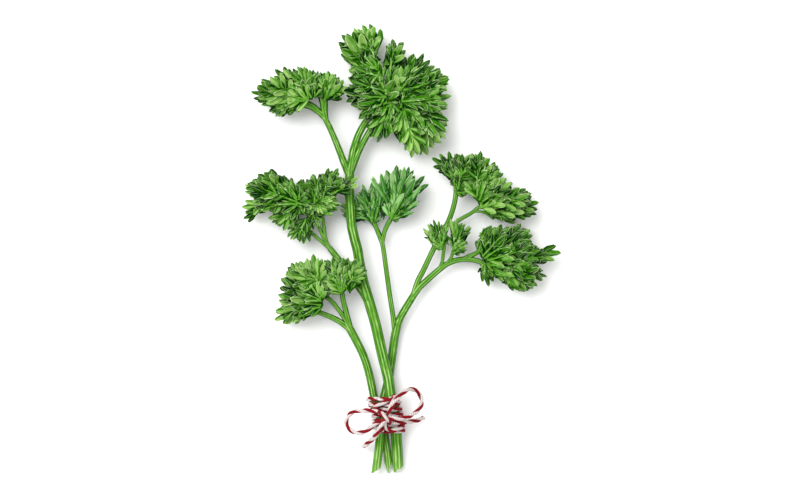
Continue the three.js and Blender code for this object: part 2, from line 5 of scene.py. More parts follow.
import bpy
from mathutils import Matrix, Vector
from mathutils.bvhtree import BVHTree
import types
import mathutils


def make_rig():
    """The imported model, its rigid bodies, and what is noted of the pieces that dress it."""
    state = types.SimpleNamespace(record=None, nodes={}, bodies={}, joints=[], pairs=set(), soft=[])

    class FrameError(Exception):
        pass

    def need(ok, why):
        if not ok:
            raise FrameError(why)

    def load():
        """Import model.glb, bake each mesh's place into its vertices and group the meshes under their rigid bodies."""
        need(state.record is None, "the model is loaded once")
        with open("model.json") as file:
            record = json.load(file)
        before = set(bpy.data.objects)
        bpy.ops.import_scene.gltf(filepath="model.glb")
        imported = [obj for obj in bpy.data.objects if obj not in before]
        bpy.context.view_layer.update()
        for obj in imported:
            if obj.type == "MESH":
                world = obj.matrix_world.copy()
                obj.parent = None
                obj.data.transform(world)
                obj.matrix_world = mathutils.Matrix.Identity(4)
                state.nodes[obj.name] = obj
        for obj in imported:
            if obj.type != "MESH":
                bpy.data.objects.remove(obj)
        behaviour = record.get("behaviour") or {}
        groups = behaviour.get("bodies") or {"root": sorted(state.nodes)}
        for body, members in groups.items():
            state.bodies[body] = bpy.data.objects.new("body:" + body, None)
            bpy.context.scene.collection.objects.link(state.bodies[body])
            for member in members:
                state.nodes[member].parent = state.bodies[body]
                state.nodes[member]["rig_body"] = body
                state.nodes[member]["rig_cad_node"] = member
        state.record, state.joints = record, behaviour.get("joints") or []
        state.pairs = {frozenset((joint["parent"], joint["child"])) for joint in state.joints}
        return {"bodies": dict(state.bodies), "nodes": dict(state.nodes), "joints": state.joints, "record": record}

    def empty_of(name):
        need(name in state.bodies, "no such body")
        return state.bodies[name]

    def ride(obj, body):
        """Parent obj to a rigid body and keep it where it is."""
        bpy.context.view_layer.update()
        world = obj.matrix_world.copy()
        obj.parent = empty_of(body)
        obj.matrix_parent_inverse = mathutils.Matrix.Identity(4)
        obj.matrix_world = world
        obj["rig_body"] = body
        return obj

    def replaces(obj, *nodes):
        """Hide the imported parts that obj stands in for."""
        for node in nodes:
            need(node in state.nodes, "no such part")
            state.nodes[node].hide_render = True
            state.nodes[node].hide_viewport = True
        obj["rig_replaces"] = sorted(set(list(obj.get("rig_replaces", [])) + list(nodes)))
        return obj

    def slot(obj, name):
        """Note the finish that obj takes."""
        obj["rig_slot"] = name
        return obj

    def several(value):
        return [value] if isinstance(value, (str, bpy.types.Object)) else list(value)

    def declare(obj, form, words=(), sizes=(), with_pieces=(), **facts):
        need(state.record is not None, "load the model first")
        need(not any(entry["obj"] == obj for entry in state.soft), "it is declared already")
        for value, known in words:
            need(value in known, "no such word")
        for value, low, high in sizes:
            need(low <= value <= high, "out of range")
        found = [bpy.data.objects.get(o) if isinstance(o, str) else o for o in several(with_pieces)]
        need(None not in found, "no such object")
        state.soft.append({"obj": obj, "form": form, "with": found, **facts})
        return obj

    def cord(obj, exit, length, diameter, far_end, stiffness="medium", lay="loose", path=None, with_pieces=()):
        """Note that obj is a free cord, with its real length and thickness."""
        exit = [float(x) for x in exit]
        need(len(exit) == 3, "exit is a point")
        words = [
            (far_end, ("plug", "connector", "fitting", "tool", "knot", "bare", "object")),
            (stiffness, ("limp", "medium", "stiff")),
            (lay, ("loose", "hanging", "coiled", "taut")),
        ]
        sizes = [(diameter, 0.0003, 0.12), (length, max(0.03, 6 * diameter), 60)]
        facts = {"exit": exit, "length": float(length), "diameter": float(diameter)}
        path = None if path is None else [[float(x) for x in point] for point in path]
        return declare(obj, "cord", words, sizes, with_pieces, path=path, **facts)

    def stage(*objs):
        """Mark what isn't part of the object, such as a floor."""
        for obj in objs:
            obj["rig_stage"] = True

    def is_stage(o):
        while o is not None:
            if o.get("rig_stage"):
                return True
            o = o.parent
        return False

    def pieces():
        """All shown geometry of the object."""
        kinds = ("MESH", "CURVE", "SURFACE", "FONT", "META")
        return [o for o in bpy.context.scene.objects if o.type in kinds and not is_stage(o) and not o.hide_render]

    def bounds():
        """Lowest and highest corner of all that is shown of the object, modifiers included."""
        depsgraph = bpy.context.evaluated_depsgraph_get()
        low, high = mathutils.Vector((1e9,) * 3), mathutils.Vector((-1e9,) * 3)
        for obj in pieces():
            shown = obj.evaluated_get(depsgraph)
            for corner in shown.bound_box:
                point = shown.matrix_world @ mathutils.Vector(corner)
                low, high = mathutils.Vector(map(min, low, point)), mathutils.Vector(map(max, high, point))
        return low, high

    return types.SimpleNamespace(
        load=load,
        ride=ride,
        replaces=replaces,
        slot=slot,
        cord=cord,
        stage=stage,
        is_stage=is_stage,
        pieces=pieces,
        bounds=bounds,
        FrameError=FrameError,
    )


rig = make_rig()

# Curly parsley bunch tied with cotton twine, lying on a pale surface and seen from straight above.
# Metres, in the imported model's frame: +Y runs from the cut ends to the leaves and +Z is up.
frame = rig.load()
packed_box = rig.bounds()


# Camera, table top and lamps: a long lens straight above the bunch, a plain pale top that it lies
# on, and soft daylight from one large lamp on the upper left and the bright room all round.
MM = 0.001
VIEW_WIDTH = 356.8 * MM
VIEW_CENTRE = (0.11 * MM, -0.67 * MM)
LENS = 200
SENSOR = 36
FAR_CLIP = 20
MIDDLE_HEIGHT = 11 * MM
TOP_SIZE = 6
TOP_HEIGHT = -0.1 * MM
LAMP_SIZE = 2
LAMP_WATTS = 66
LAMP_PLACE = (-0.9, 0.9, 2.25)
ROOM_LIGHT = 0.93


def linear(hex_colour):
    parts = [int(hex_colour[i:i + 2], 16) / 255 for i in (1, 3, 5)]
    return [p / 12.92 if p <= 0.04045 else ((p + 0.055) / 1.055) ** 2.4 for p in parts] + [1]


def node(material, kind, settings=(), links=()):
    """Adds a node. Settings are by socket or property, and links are by this node's input."""
    new = material.node_tree.nodes.new(kind)
    for key, value in dict(settings).items():
        if isinstance(key, int) or key in new.inputs:
            new.inputs[key].default_value = value
        else:
            setattr(new, key, value)
    for key, output in dict(links).items():
        material.node_tree.links.new(output, new.inputs[key])
    return new


def material(name, settings):
    made = bpy.data.materials.new(name)
    made.use_nodes = True
    made.node_tree.nodes.clear()
    shader = node(made, "ShaderNodeBsdfPrincipled", settings)
    node(made, "ShaderNodeOutputMaterial", links={"Surface": shader.outputs["BSDF"]})
    return made, shader


camera = bpy.data.objects.new("camera", bpy.data.cameras.new("camera"))
bpy.context.collection.objects.link(camera)
camera.data.lens = LENS
camera.data.sensor_width = SENSOR
camera.location = (*VIEW_CENTRE, MIDDLE_HEIGHT + VIEW_WIDTH * LENS / SENSOR)
camera.data.clip_end = FAR_CLIP
bpy.context.scene.camera = camera

bpy.ops.mesh.primitive_plane_add(size=TOP_SIZE, location=(0, 0, TOP_HEIGHT))
table_top = bpy.context.object
table_top.name = "table_top"
paper_white, _ = material("matt_white_table_top",
                          {"Base Color": linear("#fbfbfa"), "Roughness": 0.9})
table_top.data.materials.append(paper_white)
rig.stage(table_top)

lamp = bpy.data.objects.new("soft_lamp", bpy.data.lights.new("soft_lamp", "AREA"))
bpy.context.collection.objects.link(lamp)
lamp.data.shape = "DISK"
lamp.data.size = LAMP_SIZE
lamp.data.energy = LAMP_WATTS
lamp.location = LAMP_PLACE
lamp.rotation_euler = (-Vector(LAMP_PLACE)).to_track_quat("-Z", "Y").to_euler()

room = bpy.data.worlds.new("bright_room")
room.use_nodes = True
room.node_tree.nodes["Background"].inputs["Color"].default_value = linear("#ffffff")
room.node_tree.nodes["Background"].inputs["Strength"].default_value = ROOM_LIGHT
bpy.context.scene.world = room
bpy.context.scene.view_settings.view_transform = "Standard"


# The bow: two free strands of two-ply cotton baker's twine, 2.1 mm thick, one ply dyed red and one
# left white. Each leaves the flat knot as a loop, comes back through it and ends as a cut tail.
# Every route is in millimetres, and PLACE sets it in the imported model's frame.
PLACE = Vector((0.1115, -0.2202, 0))
TWINE_DIAMETER = 2.1
PLY_RADIUS = 0.34 * TWINE_DIAMETER
PLY_OFFSET = 0.17 * TWINE_DIAMETER
TWIST_PITCH = 9.2
TWINE_STEP = 0.45
PLY_LENGTH = 75
LOW_LENGTH = 0.064
HIGH_LENGTH = 0.07
LOW_STRAND = [
    (-9.7, -72.5, 16.6), (-12.5, -72, 15.6), (-17, -72, 13.4), (-20.5, -72.5, 11.2),
    (-23, -74.5, 9.6), (-24, -77.5, 9), (-22.5, -80.5, 9.2), (-19.5, -82, 10.2), (-16, -81.5, 12),
    (-13, -79.5, 14.2), (-10.5, -77.4, 15.9), (-7.5, -76.7, 16.4), (-4.5, -77, 16.5),
    (-1, -77.2, 15.8), (2, -77.2, 13.2), (5, -77, 10), (8, -76.5, 7), (10.5, -75.5, 4.4),
]
HIGH_STRAND = [
    (-3.8, -71, 18), (-3, -68.5, 18.1), (-0.8, -66, 17.2), (2, -63.5, 14.4), (5, -62.5, 11.8),
    (7.5, -63.5, 10), (9.5, -66.5, 9), (9.5, -69.5, 9.6), (8, -72, 11.4), (5, -74, 14.2),
    (2, -75, 16.8), (-1, -75.5, 18.5), (-4, -75.2, 19.2), (-7, -76.2, 19.2), (-8.8, -79, 18.8),
    (-10.2, -82, 16.6), (-12, -84.5, 12.6), (-13.8, -86.2, 8.6), (-15.3, -87.6, 5.8),
    (-16.3, -88.5, 4),
]


def cotton(name, colour, shadow, length):
    """Loosely spun cotton yarn with no gloss. Its fibres lean round the ply, and are drawn about
    0.5 mm apart, coarser than real ones, so that they show."""
    made, shader = material(name, {"Roughness": 0.9, "IOR": 1.45, "Specular IOR Level": 0.2})
    place = node(made, "ShaderNodeTexCoord")
    turned = node(made, "ShaderNodeMapping", {"Scale": (length / 0.9, 3, 1)},
                  {"Vector": place.outputs["UV"]})
    fibres = node(made, "ShaderNodeTexWave",
                  {"bands_direction": "DIAGONAL", "Scale": 0.55, "Distortion": 2.2, "Detail": 2},
                  {"Vector": turned.outputs["Vector"]})
    patches = node(made, "ShaderNodeTexNoise", {"Scale": 900, "Detail": 3},
                   {"Vector": place.outputs["Object"]})
    uneven = node(made, "ShaderNodeMix", {"data_type": "FLOAT", "Factor": 0.45},
                  {2: fibres.outputs["Fac"], 3: patches.outputs["Fac"]})
    colours = node(made, "ShaderNodeMix",
                   {"data_type": "RGBA", 6: linear(shadow), 7: linear(colour)},
                   {0: uneven.outputs[0]})
    bump = node(made, "ShaderNodeBump", {"Strength": 0.5, "Distance": 0.12 * MM},
                {"Height": uneven.outputs[0]})
    made.node_tree.links.new(colours.outputs[2], shader.inputs["Base Color"])
    made.node_tree.links.new(bump.outputs["Normal"], shader.inputs["Normal"])
    return made


def smooth_route(points, step):
    """Even steps, in millimetres, along a smooth curve through the points."""
    fine_steps = 24
    points = [Vector(p) for p in points]
    ends = [2 * points[0] - points[1], *points, 2 * points[-1] - points[-2]]
    fine = []
    for p0, p1, p2, p3 in zip(ends, ends[1:], ends[2:], ends[3:]):
        d0, d1, d2 = [max((b - a).length, 1e-4) ** 0.5 for a, b in ((p0, p1), (p1, p2), (p2, p3))]
        leave = ((p1 - p0) / d0 - (p2 - p0) / (d0 + d1) + (p2 - p1) / d1) * d1
        arrive = ((p2 - p1) / d1 - (p3 - p1) / (d1 + d2) + (p3 - p2) / d2) * d1
        for i in range(fine_steps):
            t = i / fine_steps
            fine.append(p1 * (2 * t ** 3 - 3 * t ** 2 + 1) + p2 * (3 * t ** 2 - 2 * t ** 3)
                        + leave * (t ** 3 - 2 * t ** 2 + t) + arrive * (t ** 3 - t ** 2))
    fine.append(points[-1])
    travelled = [0]
    for a, b in zip(fine, fine[1:]):
        travelled.append(travelled[-1] + (b - a).length)
    count = max(2, round(travelled[-1] / step))
    route, at = [], 0
    for i in range(count + 1):
        goal = travelled[-1] * i / count
        while at < len(fine) - 2 and travelled[at + 1] < goal:
            at += 1
        span = max(travelled[at + 1] - travelled[at], 1e-9)
        route.append(fine[at].lerp(fine[at + 1], min(1, (goal - travelled[at]) / span)))
    return route


def only(*objects):
    """These objects alone are selected, and the first is the active one."""
    bpy.ops.object.select_all(action="DESELECT")
    for piece in objects:
        piece.select_set(True)
    bpy.context.view_layer.objects.active = objects[0]


def tube(name, route, radii, finish, section=None):
    """A closed tube along a route in local millimetres, with a round or a given section."""
    curve = bpy.data.curves.new(name, "CURVE")
    curve.dimensions = "3D"
    curve.use_fill_caps = True
    if section:
        curve.twist_mode = "Z_UP"
        curve.bevel_mode = "OBJECT"
        curve.bevel_object = section
    else:
        curve.bevel_depth = MM
        curve.bevel_resolution = 3
    line = curve.splines.new("POLY")
    line.points.add(len(route) - 1)
    for point, place, radius in zip(line.points, route, radii):
        point.co = (*((place + PLACE) * MM), 1)
        point.radius = radius
    piece = bpy.data.objects.new(name, curve)
    bpy.context.collection.objects.link(piece)
    curve.materials.append(finish)
    only(piece)
    bpy.ops.object.convert(target="MESH")
    bpy.ops.object.mode_set(mode="EDIT")
    bpy.ops.mesh.select_all(action="SELECT")
    bpy.ops.mesh.remove_doubles(threshold=0.001 * MM)
    bpy.ops.mesh.normals_make_consistent(inside=False)
    bpy.ops.object.mode_set(mode="OBJECT")
    bpy.ops.object.shade_smooth_by_angle(angle=math.radians(50))
    return bpy.context.object


def joined(name, pieces):
    only(*pieces)
    bpy.ops.object.join()
    made = bpy.context.object
    made.name = made.data.name = name
    return made


def twine(name, points):
    """Two plies laid round each other along the route."""
    route = smooth_route(points, TWINE_STEP)
    length = sum((b - a).length for a, b in zip(route, route[1:]))
    turns = length / TWIST_PITCH
    side = (route[1] - route[0]).orthogonal().normalized()
    offsets = []
    for i, place in enumerate(route):
        along = (route[min(i + 1, len(route) - 1)] - route[max(i - 1, 0)]).normalized()
        side = (side - along * side.dot(along)).normalized()
        angle = 2 * math.pi * turns * i / (len(route) - 1)
        offsets.append((side * math.cos(angle) + along.cross(side) * math.sin(angle)) * PLY_OFFSET)
    plies = []
    for sign, shade in ((1, red_cotton), (-1, white_cotton)):
        path = [place + offset * sign for place, offset in zip(route, offsets)]
        plies.append(tube(name + "_ply", path, [PLY_RADIUS] * len(path), shade))
    return joined(name, plies), [(place + PLACE) * MM for place in route]


red_cotton = cotton("red_dyed_cotton_yarn", "#9a0f1c", "#3c0207", PLY_LENGTH)
white_cotton = cotton("undyed_white_cotton_yarn", "#ece0dd", "#8a7c7a", PLY_LENGTH)

bow_left, left_path = twine("bow_left_twine", LOW_STRAND)
bow_right, right_path = twine("bow_right_twine", HIGH_STRAND)
for bow, path, solid, length in ((bow_left, left_path, "bow_left", LOW_LENGTH),
                                 (bow_right, right_path, "bow_right", HIGH_LENGTH)):
    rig.ride(bow, "root")
    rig.replaces(bow, solid)
    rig.slot(bow, "twine")
    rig.cord(bow, exit=path[0], length=length, diameter=TWINE_DIAMETER * MM, far_end="bare",
            stiffness="limp", lay="loose", path=path)


# Stalks: fresh juicy petioles with fine lengthwise ribs, about 5.5 mm thick at the cut, paler on
# the ribs and with painted shade in the furrows, forking into thinner branches.
# Each branch of a stalk: its radius where it starts and where it ends, and its route.
MIDDLE_STALK = [
    (2.45, 2.35, [(-0.9, -99, 3.2), (-1.5, -86, 6.3), (-2.7, -74, 9.4), (-3.4, -70, 11.1),
                  (-4.1, -66, 11.5), (-5.4, -57, 10.2), (-7.9, -47, 10), (-11.1, -33, 9.7),
                  (-14.7, -20.5, 9.4)]),
    (2.4, 2, [(-14, -23, 9.5), (-16.6, -14, 9.3), (-18.1, -6, 9.2), (-19, -0.4, 9.2),
              (-20.3, 4.5, 9.2),
              (-21.6, 10.7, 9.2), (-22.2, 20.5, 9.2), (-22.7, 28, 9), (-22.4, 35.5, 9)]),
    (1.7, 1.2, [(-22.5, 32.5, 9), (-25, 38.5, 9), (-28.5, 47.5, 8.8), (-32, 55.5, 8.8),
                (-34.5, 60, 9)]),
    (1.1, 2, [(-32.6, 57, 8.9), (-35.5, 60.6, 9), (-39.4, 63.6, 9.4), (-43.5, 65.2, 9.6)]),
    (1.1, 2.3, [(-32.8, 57, 8.9), (-33.7, 61, 9.2), (-34, 65, 9.4), (-34.6, 69, 9.6)]),
    (1.8, 1.4, [(-22.5, 34, 9), (-20.3, 46, 9), (-17, 54, 9.2), (-12, 61, 9.8), (-7, 67, 10.5)]),
    (1.6, 1.2, [(-21.8, 35, 9), (-18, 44.5, 9), (-14.5, 51, 9), (-9.5, 59, 9.5),
                (-5.5, 65, 10.5)]),
    (2.1, 1.3, [(-13, -25, 9.3), (-15.6, -20.5, 8.8), (-18.5, -16.5, 8.2), (-23, -10.5, 7.6),
                (-28, -4, 7.4), (-31.5, 0.5, 7.4)]),
    (0.85, 0.75, [(-31, -0.2, 7.4), (-33.2, 3.2, 7.6), (-35.8, 9, 8.2), (-37.1, 14, 9.4),
                  (-38.7, 19, 10.4)]),
    (0.85, 0.75, [(-31, -0.2, 7.4), (-32.9, 3.5, 7.6), (-34, 10, 8.6), (-34.8, 16, 10),
                  (-35.5, 19, 10.4)]),
    (0.8, 0.75, [(-30.6, -1, 7.4), (-33.4, 1.8, 7.2), (-37, 5, 7), (-40.6, 8, 7),
                 (-45, 10.6, 7.6)]),
]
LEFT_STALK = [
    (1.75, 1.8, [(-4.9, -99, 2.7), (-6.2, -87.5, 5), (-8.6, -74, 5), (-10.6, -70, 4.9),
                 (-11.9, -65, 5),
                 (-13.4, -57.5, 5.8), (-16, -48.5, 6.8), (-19.8, -40.5, 7.4), (-22.6, -35.3, 7.9),
                 (-24, -32.5, 8)]),
    (1.4, 1.1, [(-22.3, -36, 7.9), (-26.6, -32.6, 8.3), (-31, -30.3, 8.7), (-34.5, -28.9, 9),
                (-38, -27.6, 9.3)]),
    (1.1, 0.9, [(-23.4, -33, 8), (-27.2, -27.4, 8.7), (-31.2, -22.7, 9.2), (-36.5, -19.5, 9.6)]),
    (1.4, 1, [(-22, -36.5, 7.9), (-23.3, -31.2, 8.6), (-24.3, -27.2, 9.4), (-25.4, -22.7, 10.2),
              (-26.3, -15.5, 11.7)]),
]
RIGHT_STALK = [
    (1.95, 1.85, [(-10.7, -99, 5.4), (-9.1, -86, 8.8), (-8.6, -74, 9.5), (-7.9, -70, 8.5),
                  (-7.1, -66, 5.7), (-5, -57.5, 4.3), (-3.5, -47.5, 4.4), (-2.3, -39, 5.2),
                  (-1.3, -34.5, 5.6)]),
    (1.1, 1.05, [(-2.4, -37, 5.4), (-3, -31, 5.8), (-4.6, -20.5, 6), (-6, -10.5, 6),
                 (-7.4, -0.4, 6.5),
                 (-8.3, 4.5, 6.8)]),
    (1, 1, [(-8, 2.5, 6.7), (-9.4, 7, 6.2), (-12.4, 12, 5.4), (-15.6, 14.6, 4.6),
            (-19.5, 15.4, 4)]),
    (1, 1, [(-8, 2.5, 6.7), (-10.3, 8.6, 6.8), (-12.2, 13.5, 7)]),
    (1, 1.1, [(-8, 2.5, 6.7), (-7, 7.5, 7.2), (-5.2, 11.5, 7.8), (-2.4, 16, 8.3)]),
    (1.75, 1.6, [(-1.9, -37, 5.4), (-0.5, -32, 5.8), (2.1, -27.2, 6), (4.8, -22.7, 6.3),
                 (7.2, -18.9, 6.5)]),
    (1.3, 1.1, [(6, -20.5, 6.5), (8.1, -14, 6.4), (10.5, -9.4, 6.4), (12.6, -4.9, 6.4),
                (14.8, -0.4, 6.4),
                (17.7, 5, 6.4), (21, 11, 6.7), (23.2, 16.5, 7.6), (24.6, 22, 8.8), (25, 27.5, 9.4),
                (23.5, 33, 9.8)]),
    (0.95, 0.8, [(20.5, 10, 6.7), (23.6, 11, 6.2), (27.5, 13.6, 6.4), (31.8, 16, 7.2),
                 (35.5, 18.8, 8),
                 (39.5, 20.5, 8.8)]),
    (0.65, 0.55, [(30.5, 15.2, 7), (34, 16.8, 7.6), (38.2, 16, 8), (42, 13.3, 7.6)]),
    (1.5, 1.1, [(6.3, -20.5, 6.5), (8.8, -17, 6.6), (12.5, -13.6, 6.8), (17.4, -9.3, 7.2),
                (22.3, -6, 7.7),
                (28, -4.6, 8), (34, -5.1, 8.4), (38.5, -7, 9), (43, -8.5, 9.4)]),
    (1, 1.1, [(28, -4.5, 8), (31.5, -3, 8.5), (34.5, -1.6, 9), (38, 1.2, 9.4)]),
    (0.85, 0.75, [(17.5, -9, 7.3), (18.8, -6, 8.4), (19.4, -1.5, 10), (20, 2.5, 11.2)]),
    (0.8, 0.7, [(20.5, -6.8, 7.6), (22.8, -4, 9), (23.8, -0.6, 10.2), (24.8, 3, 11.3)]),
]
# The torn line of each cut end: across from the stalk's middle, and along the bunch.
CUTS = {
    "stalk_middle": [(-2.5, -96.8), (-1.75, -100.6), (-1.1, -99.2), (-0.2, -98), (1, -98.7),
                     (2.5, -97)],
    "stalk_left": [(-1.8, -95.2), (-1.2, -97.4), (-0.7, -101), (-0.2, -98.6), (1, -96.8),
                   (1.8, -95.1)],
    "stalk_right": [(-2, -100.4), (-0.7, -99.9), (1.1, -97.3), (1.6, -98.7), (2, -96.2)],
}
RIBS_THICK = 9
RIBS_THIN = 6
RIB_DEPTH = 0.045
THICK_BRANCH = 1.5
STALK_STEP = 1.2
END_RING = 0.3
RIND = 0.3


def pick(piece, wanted):
    """In edit mode, these vertices alone are selected."""
    bpy.ops.mesh.select_all(action="DESELECT")
    bpy.ops.object.mode_set(mode="OBJECT")
    for i in wanted:
        piece.data.vertices[i].select = True
    bpy.ops.object.mode_set(mode="EDIT")


def torn(stalk, route, cut):
    """Draws the open end of a stalk out to its torn line, and closes it with pith in a rind."""
    along = (route[1] - route[0]).normalized()
    ring = []
    for v in stalk.data.vertices:
        place = v.co / MM - PLACE - route[0]
        if place.dot(along) < END_RING:
            ring.append((v.index, place.x, place.y + route[0].y))
    bpy.ops.object.mode_set(mode="EDIT")
    pick(stalk, [i for i, _, _ in ring])
    bpy.ops.mesh.delete(type="ONLY_FACE")
    for i, across, y in ring:
        (x0, y0), (x1, y1) = next(((a, b) for a, b in zip(cut, cut[1:]) if across <= b[0]),
                                  cut[-2:])
        goal = y0 + (y1 - y0) * min(1, max(0, (across - x0) / (x1 - x0)))
        pick(stalk, [i])
        bpy.ops.transform.translate(value=along * (goal - y) / along.y * MM)
    pick(stalk, [i for i, _, _ in ring])
    bpy.ops.mesh.edge_face_add()
    bpy.ops.mesh.inset(thickness=RIND * MM)
    bpy.ops.mesh.poke()
    stalk.data.materials.append(cut_pith)
    stalk.active_material_index = 1
    bpy.ops.object.material_slot_assign()
    bpy.ops.mesh.select_all(action="SELECT")
    bpy.ops.mesh.normals_make_consistent(inside=False)
    bpy.ops.object.mode_set(mode="OBJECT")
    bpy.ops.object.shade_smooth_by_angle(angle=math.radians(40))


def rib_section(ribs):
    """The fluted outline of a stalk, one unit in radius."""
    bpy.ops.mesh.primitive_circle_add(vertices=ribs * 4, radius=MM)
    outline = bpy.context.object
    bpy.ops.object.mode_set(mode="EDIT")
    bpy.ops.mesh.select_all(action="DESELECT")
    bpy.ops.object.mode_set(mode="OBJECT")
    for corner in list(outline.data.vertices)[::4]:
        corner.select = True
    bpy.ops.object.mode_set(mode="EDIT")
    bpy.ops.transform.resize(value=(1 - 2 * RIB_DEPTH,) * 3, center_override=(0, 0, 0))
    bpy.ops.object.mode_set(mode="OBJECT")
    bpy.ops.object.convert(target="CURVE")
    return bpy.context.object


def stalk_skin(name, ribs, length):
    """Moist green stalk with a soft gloss: pale ribs and painted shade in its furrows, uneven streaks
    about 9 mm long, painted shade on its sides and underside, and drier and paler towards the cut."""
    made, shader = material(name, {"Roughness": 0.45, "IOR": 1.42, "Specular IOR Level": 0.22})
    place = node(made, "ShaderNodeTexCoord")
    split = node(made, "ShaderNodeSeparateXYZ", links={0: place.outputs["UV"]})
    # Painted shade: the cosine round the stalk darkens its furrows and leaves its ribs paler.
    around = node(made, "ShaderNodeMath", {"operation": "MULTIPLY", 1: 2 * math.pi * ribs},
                  {0: split.outputs["Y"]})
    painted_furrow_shade = node(made, "ShaderNodeMath", {"operation": "COSINE"}, {0: around.outputs[0]})
    long = node(made, "ShaderNodeMapping", {"Scale": (length / 9, ribs * 1.7, 1)},
                {"Vector": place.outputs["UV"]})
    streaks = node(made, "ShaderNodeTexNoise", {"Scale": 1, "Detail": 4, "Roughness": 0.6},
                   {"Vector": long.outputs["Vector"]})
    ribbed = node(made, "ShaderNodeMath", {"operation": "MULTIPLY_ADD", 1: -0.12},
                  {0: painted_furrow_shade.outputs[0], 2: streaks.outputs["Fac"]})
    # Painted shade: darker where the surface faces sideways or downwards, lightest on top.
    geometry = node(made, "ShaderNodeNewGeometry")
    facing = node(made, "ShaderNodeSeparateXYZ", links={0: geometry.outputs["Normal"]})
    painted_side_shade = node(made, "ShaderNodeMapRange", {1: 0.15, 2: 0.95, 3: -0.34, 4: 0.02},
                      {0: facing.outputs["Z"]})
    with_painted_side_shade = node(made, "ShaderNodeMath", {"operation": "ADD"},
                 {0: ribbed.outputs[0], 1: painted_side_shade.outputs[0]})
    spot = node(made, "ShaderNodeSeparateXYZ", links={0: place.outputs["Object"]})
    dry_end = node(made, "ShaderNodeMapRange", {1: -0.101, 2: -0.086, 3: 0.2, 4: 0.02},
                   {0: spot.outputs["Y"]})
    light = node(made, "ShaderNodeMath", {"operation": "ADD"},
                 {0: with_painted_side_shade.outputs[0], 1: dry_end.outputs[0]})
    ramp = node(made, "ShaderNodeValToRGB", links={0: light.outputs[0]})
    tones = ramp.color_ramp.elements
    tones[0].position, tones[0].color = 0.2, linear("#0c4200")
    tones[1].position, tones[1].color = 0.85, linear("#b4cc8a")
    middle = tones.new(0.45)
    middle.color = linear("#3b7a0c")
    upper = tones.new(0.62)
    upper.color = linear("#6a9c38")
    bump = node(made, "ShaderNodeBump", {"Strength": 0.35, "Distance": 0.25 * MM},
                {"Height": streaks.outputs["Fac"]})
    made.node_tree.links.new(ramp.outputs["Color"], shader.inputs["Base Color"])
    made.node_tree.links.new(bump.outputs["Normal"], shader.inputs["Normal"])
    return made


# Freshly cut pith: pale and moist, speckled with vessels about 0.4 mm apart.
cut_pith, pith_shader = material("pale_cut_pith", {"Roughness": 0.5, "IOR": 1.4,
                                                  "Specular IOR Level": 0.3})
pith_place = node(cut_pith, "ShaderNodeTexCoord")
vessels = node(cut_pith, "ShaderNodeTexNoise", {"Scale": 2500, "Detail": 2},
               {"Vector": pith_place.outputs["Object"]})
pith_tones = node(cut_pith, "ShaderNodeMix",
                  {"data_type": "RGBA", 6: linear("#86a850"), 7: linear("#dbe8bc")},
                  {0: vessels.outputs["Fac"]})
cut_pith.node_tree.links.new(pith_tones.outputs[2], pith_shader.inputs["Base Color"])

thick_section = rib_section(RIBS_THICK)
thin_section = rib_section(RIBS_THIN)
thick_skin = stalk_skin("fresh_ribbed_stalk", RIBS_THICK, 90)
thin_skin = stalk_skin("fresh_thin_branch", RIBS_THIN, 30)
for name, branches in (("stalk_middle", MIDDLE_STALK), ("stalk_left", LEFT_STALK),
                       ("stalk_right", RIGHT_STALK)):
    grown = []
    for base, end, route in branches:
        thick = base > THICK_BRANCH
        path = smooth_route(route, STALK_STEP)
        cut = CUTS[name] if not grown else None
        if cut:
            path = [p for p in path if p.y > max(y for _, y in cut)]
        radii = [base + (end - base) * i / (len(path) - 1) for i in range(len(path))]
        grown.append(tube(name, path, radii, thick_skin if thick else thin_skin,
                          thick_section if thick else thin_section))
        if cut:
            torn(grown[0], path, cut)
    stalks = joined(name + "_ribbed", grown)
    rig.ride(stalks, "root")
    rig.replaces(stalks, name)
    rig.slot(stalks, "stalk")
bpy.data.objects.remove(thick_section)
bpy.data.objects.remove(thin_section)


# The binding: the same twine wound six times round the three stalks, with two turns that cross
# over them, the strand that stands up the middle, and the flat knot that nips the bow.
TIE_PLACE = -74
TIE_TURNS = 6
TURN_STEPS = 12
TIE_PITCH = 2.45
TWINE_GAP = 0.1
STALK_RADII_AT_TIE = {"middle": 2.45, "left": 1.7, "right": 1.95}
CROSSING_TURN = [(-12.6, -72.2, 8.6), (-12, -71.2, 12.2), (-9, -69.4, 15), (-5.5, -67.4, 15.9),
                 (-2.6, -66.2, 15), (-0.6, -65.8, 12.4)]
LOWER_TURN = [(-6.6, -76.6, 17.2), (-6.2, -79, 16.8), (-4.4, -80.8, 15.6), (-2, -80.6, 14.6),
              (0.2, -79.6, 12.6), (1.2, -79, 9.6)]
NIP = [(-9.8, -72.6, 14.4), (-8.6, -72.8, 17.6), (-6.7, -74.2, 20.4), (-5.2, -75.7, 20.4),
       (-4.5, -77, 17.8), (-4.5, -77.6, 15)]
UPRIGHT_STRAND = [(-3, -65.4, 13), (-3.2, -67, 16.2), (-3.9, -69.6, 18), (-5, -72.6, 18.8),
                  (-6, -75.6, 18.4), (-7.4, -79, 16.6), (-8.2, -81, 13.4)]


def stalk_at(branches, y):
    """The middle of a stalk where it crosses a given place along the bunch."""
    return min(smooth_route(branches[0][2], 0.2), key=lambda p: abs(p.y - y))


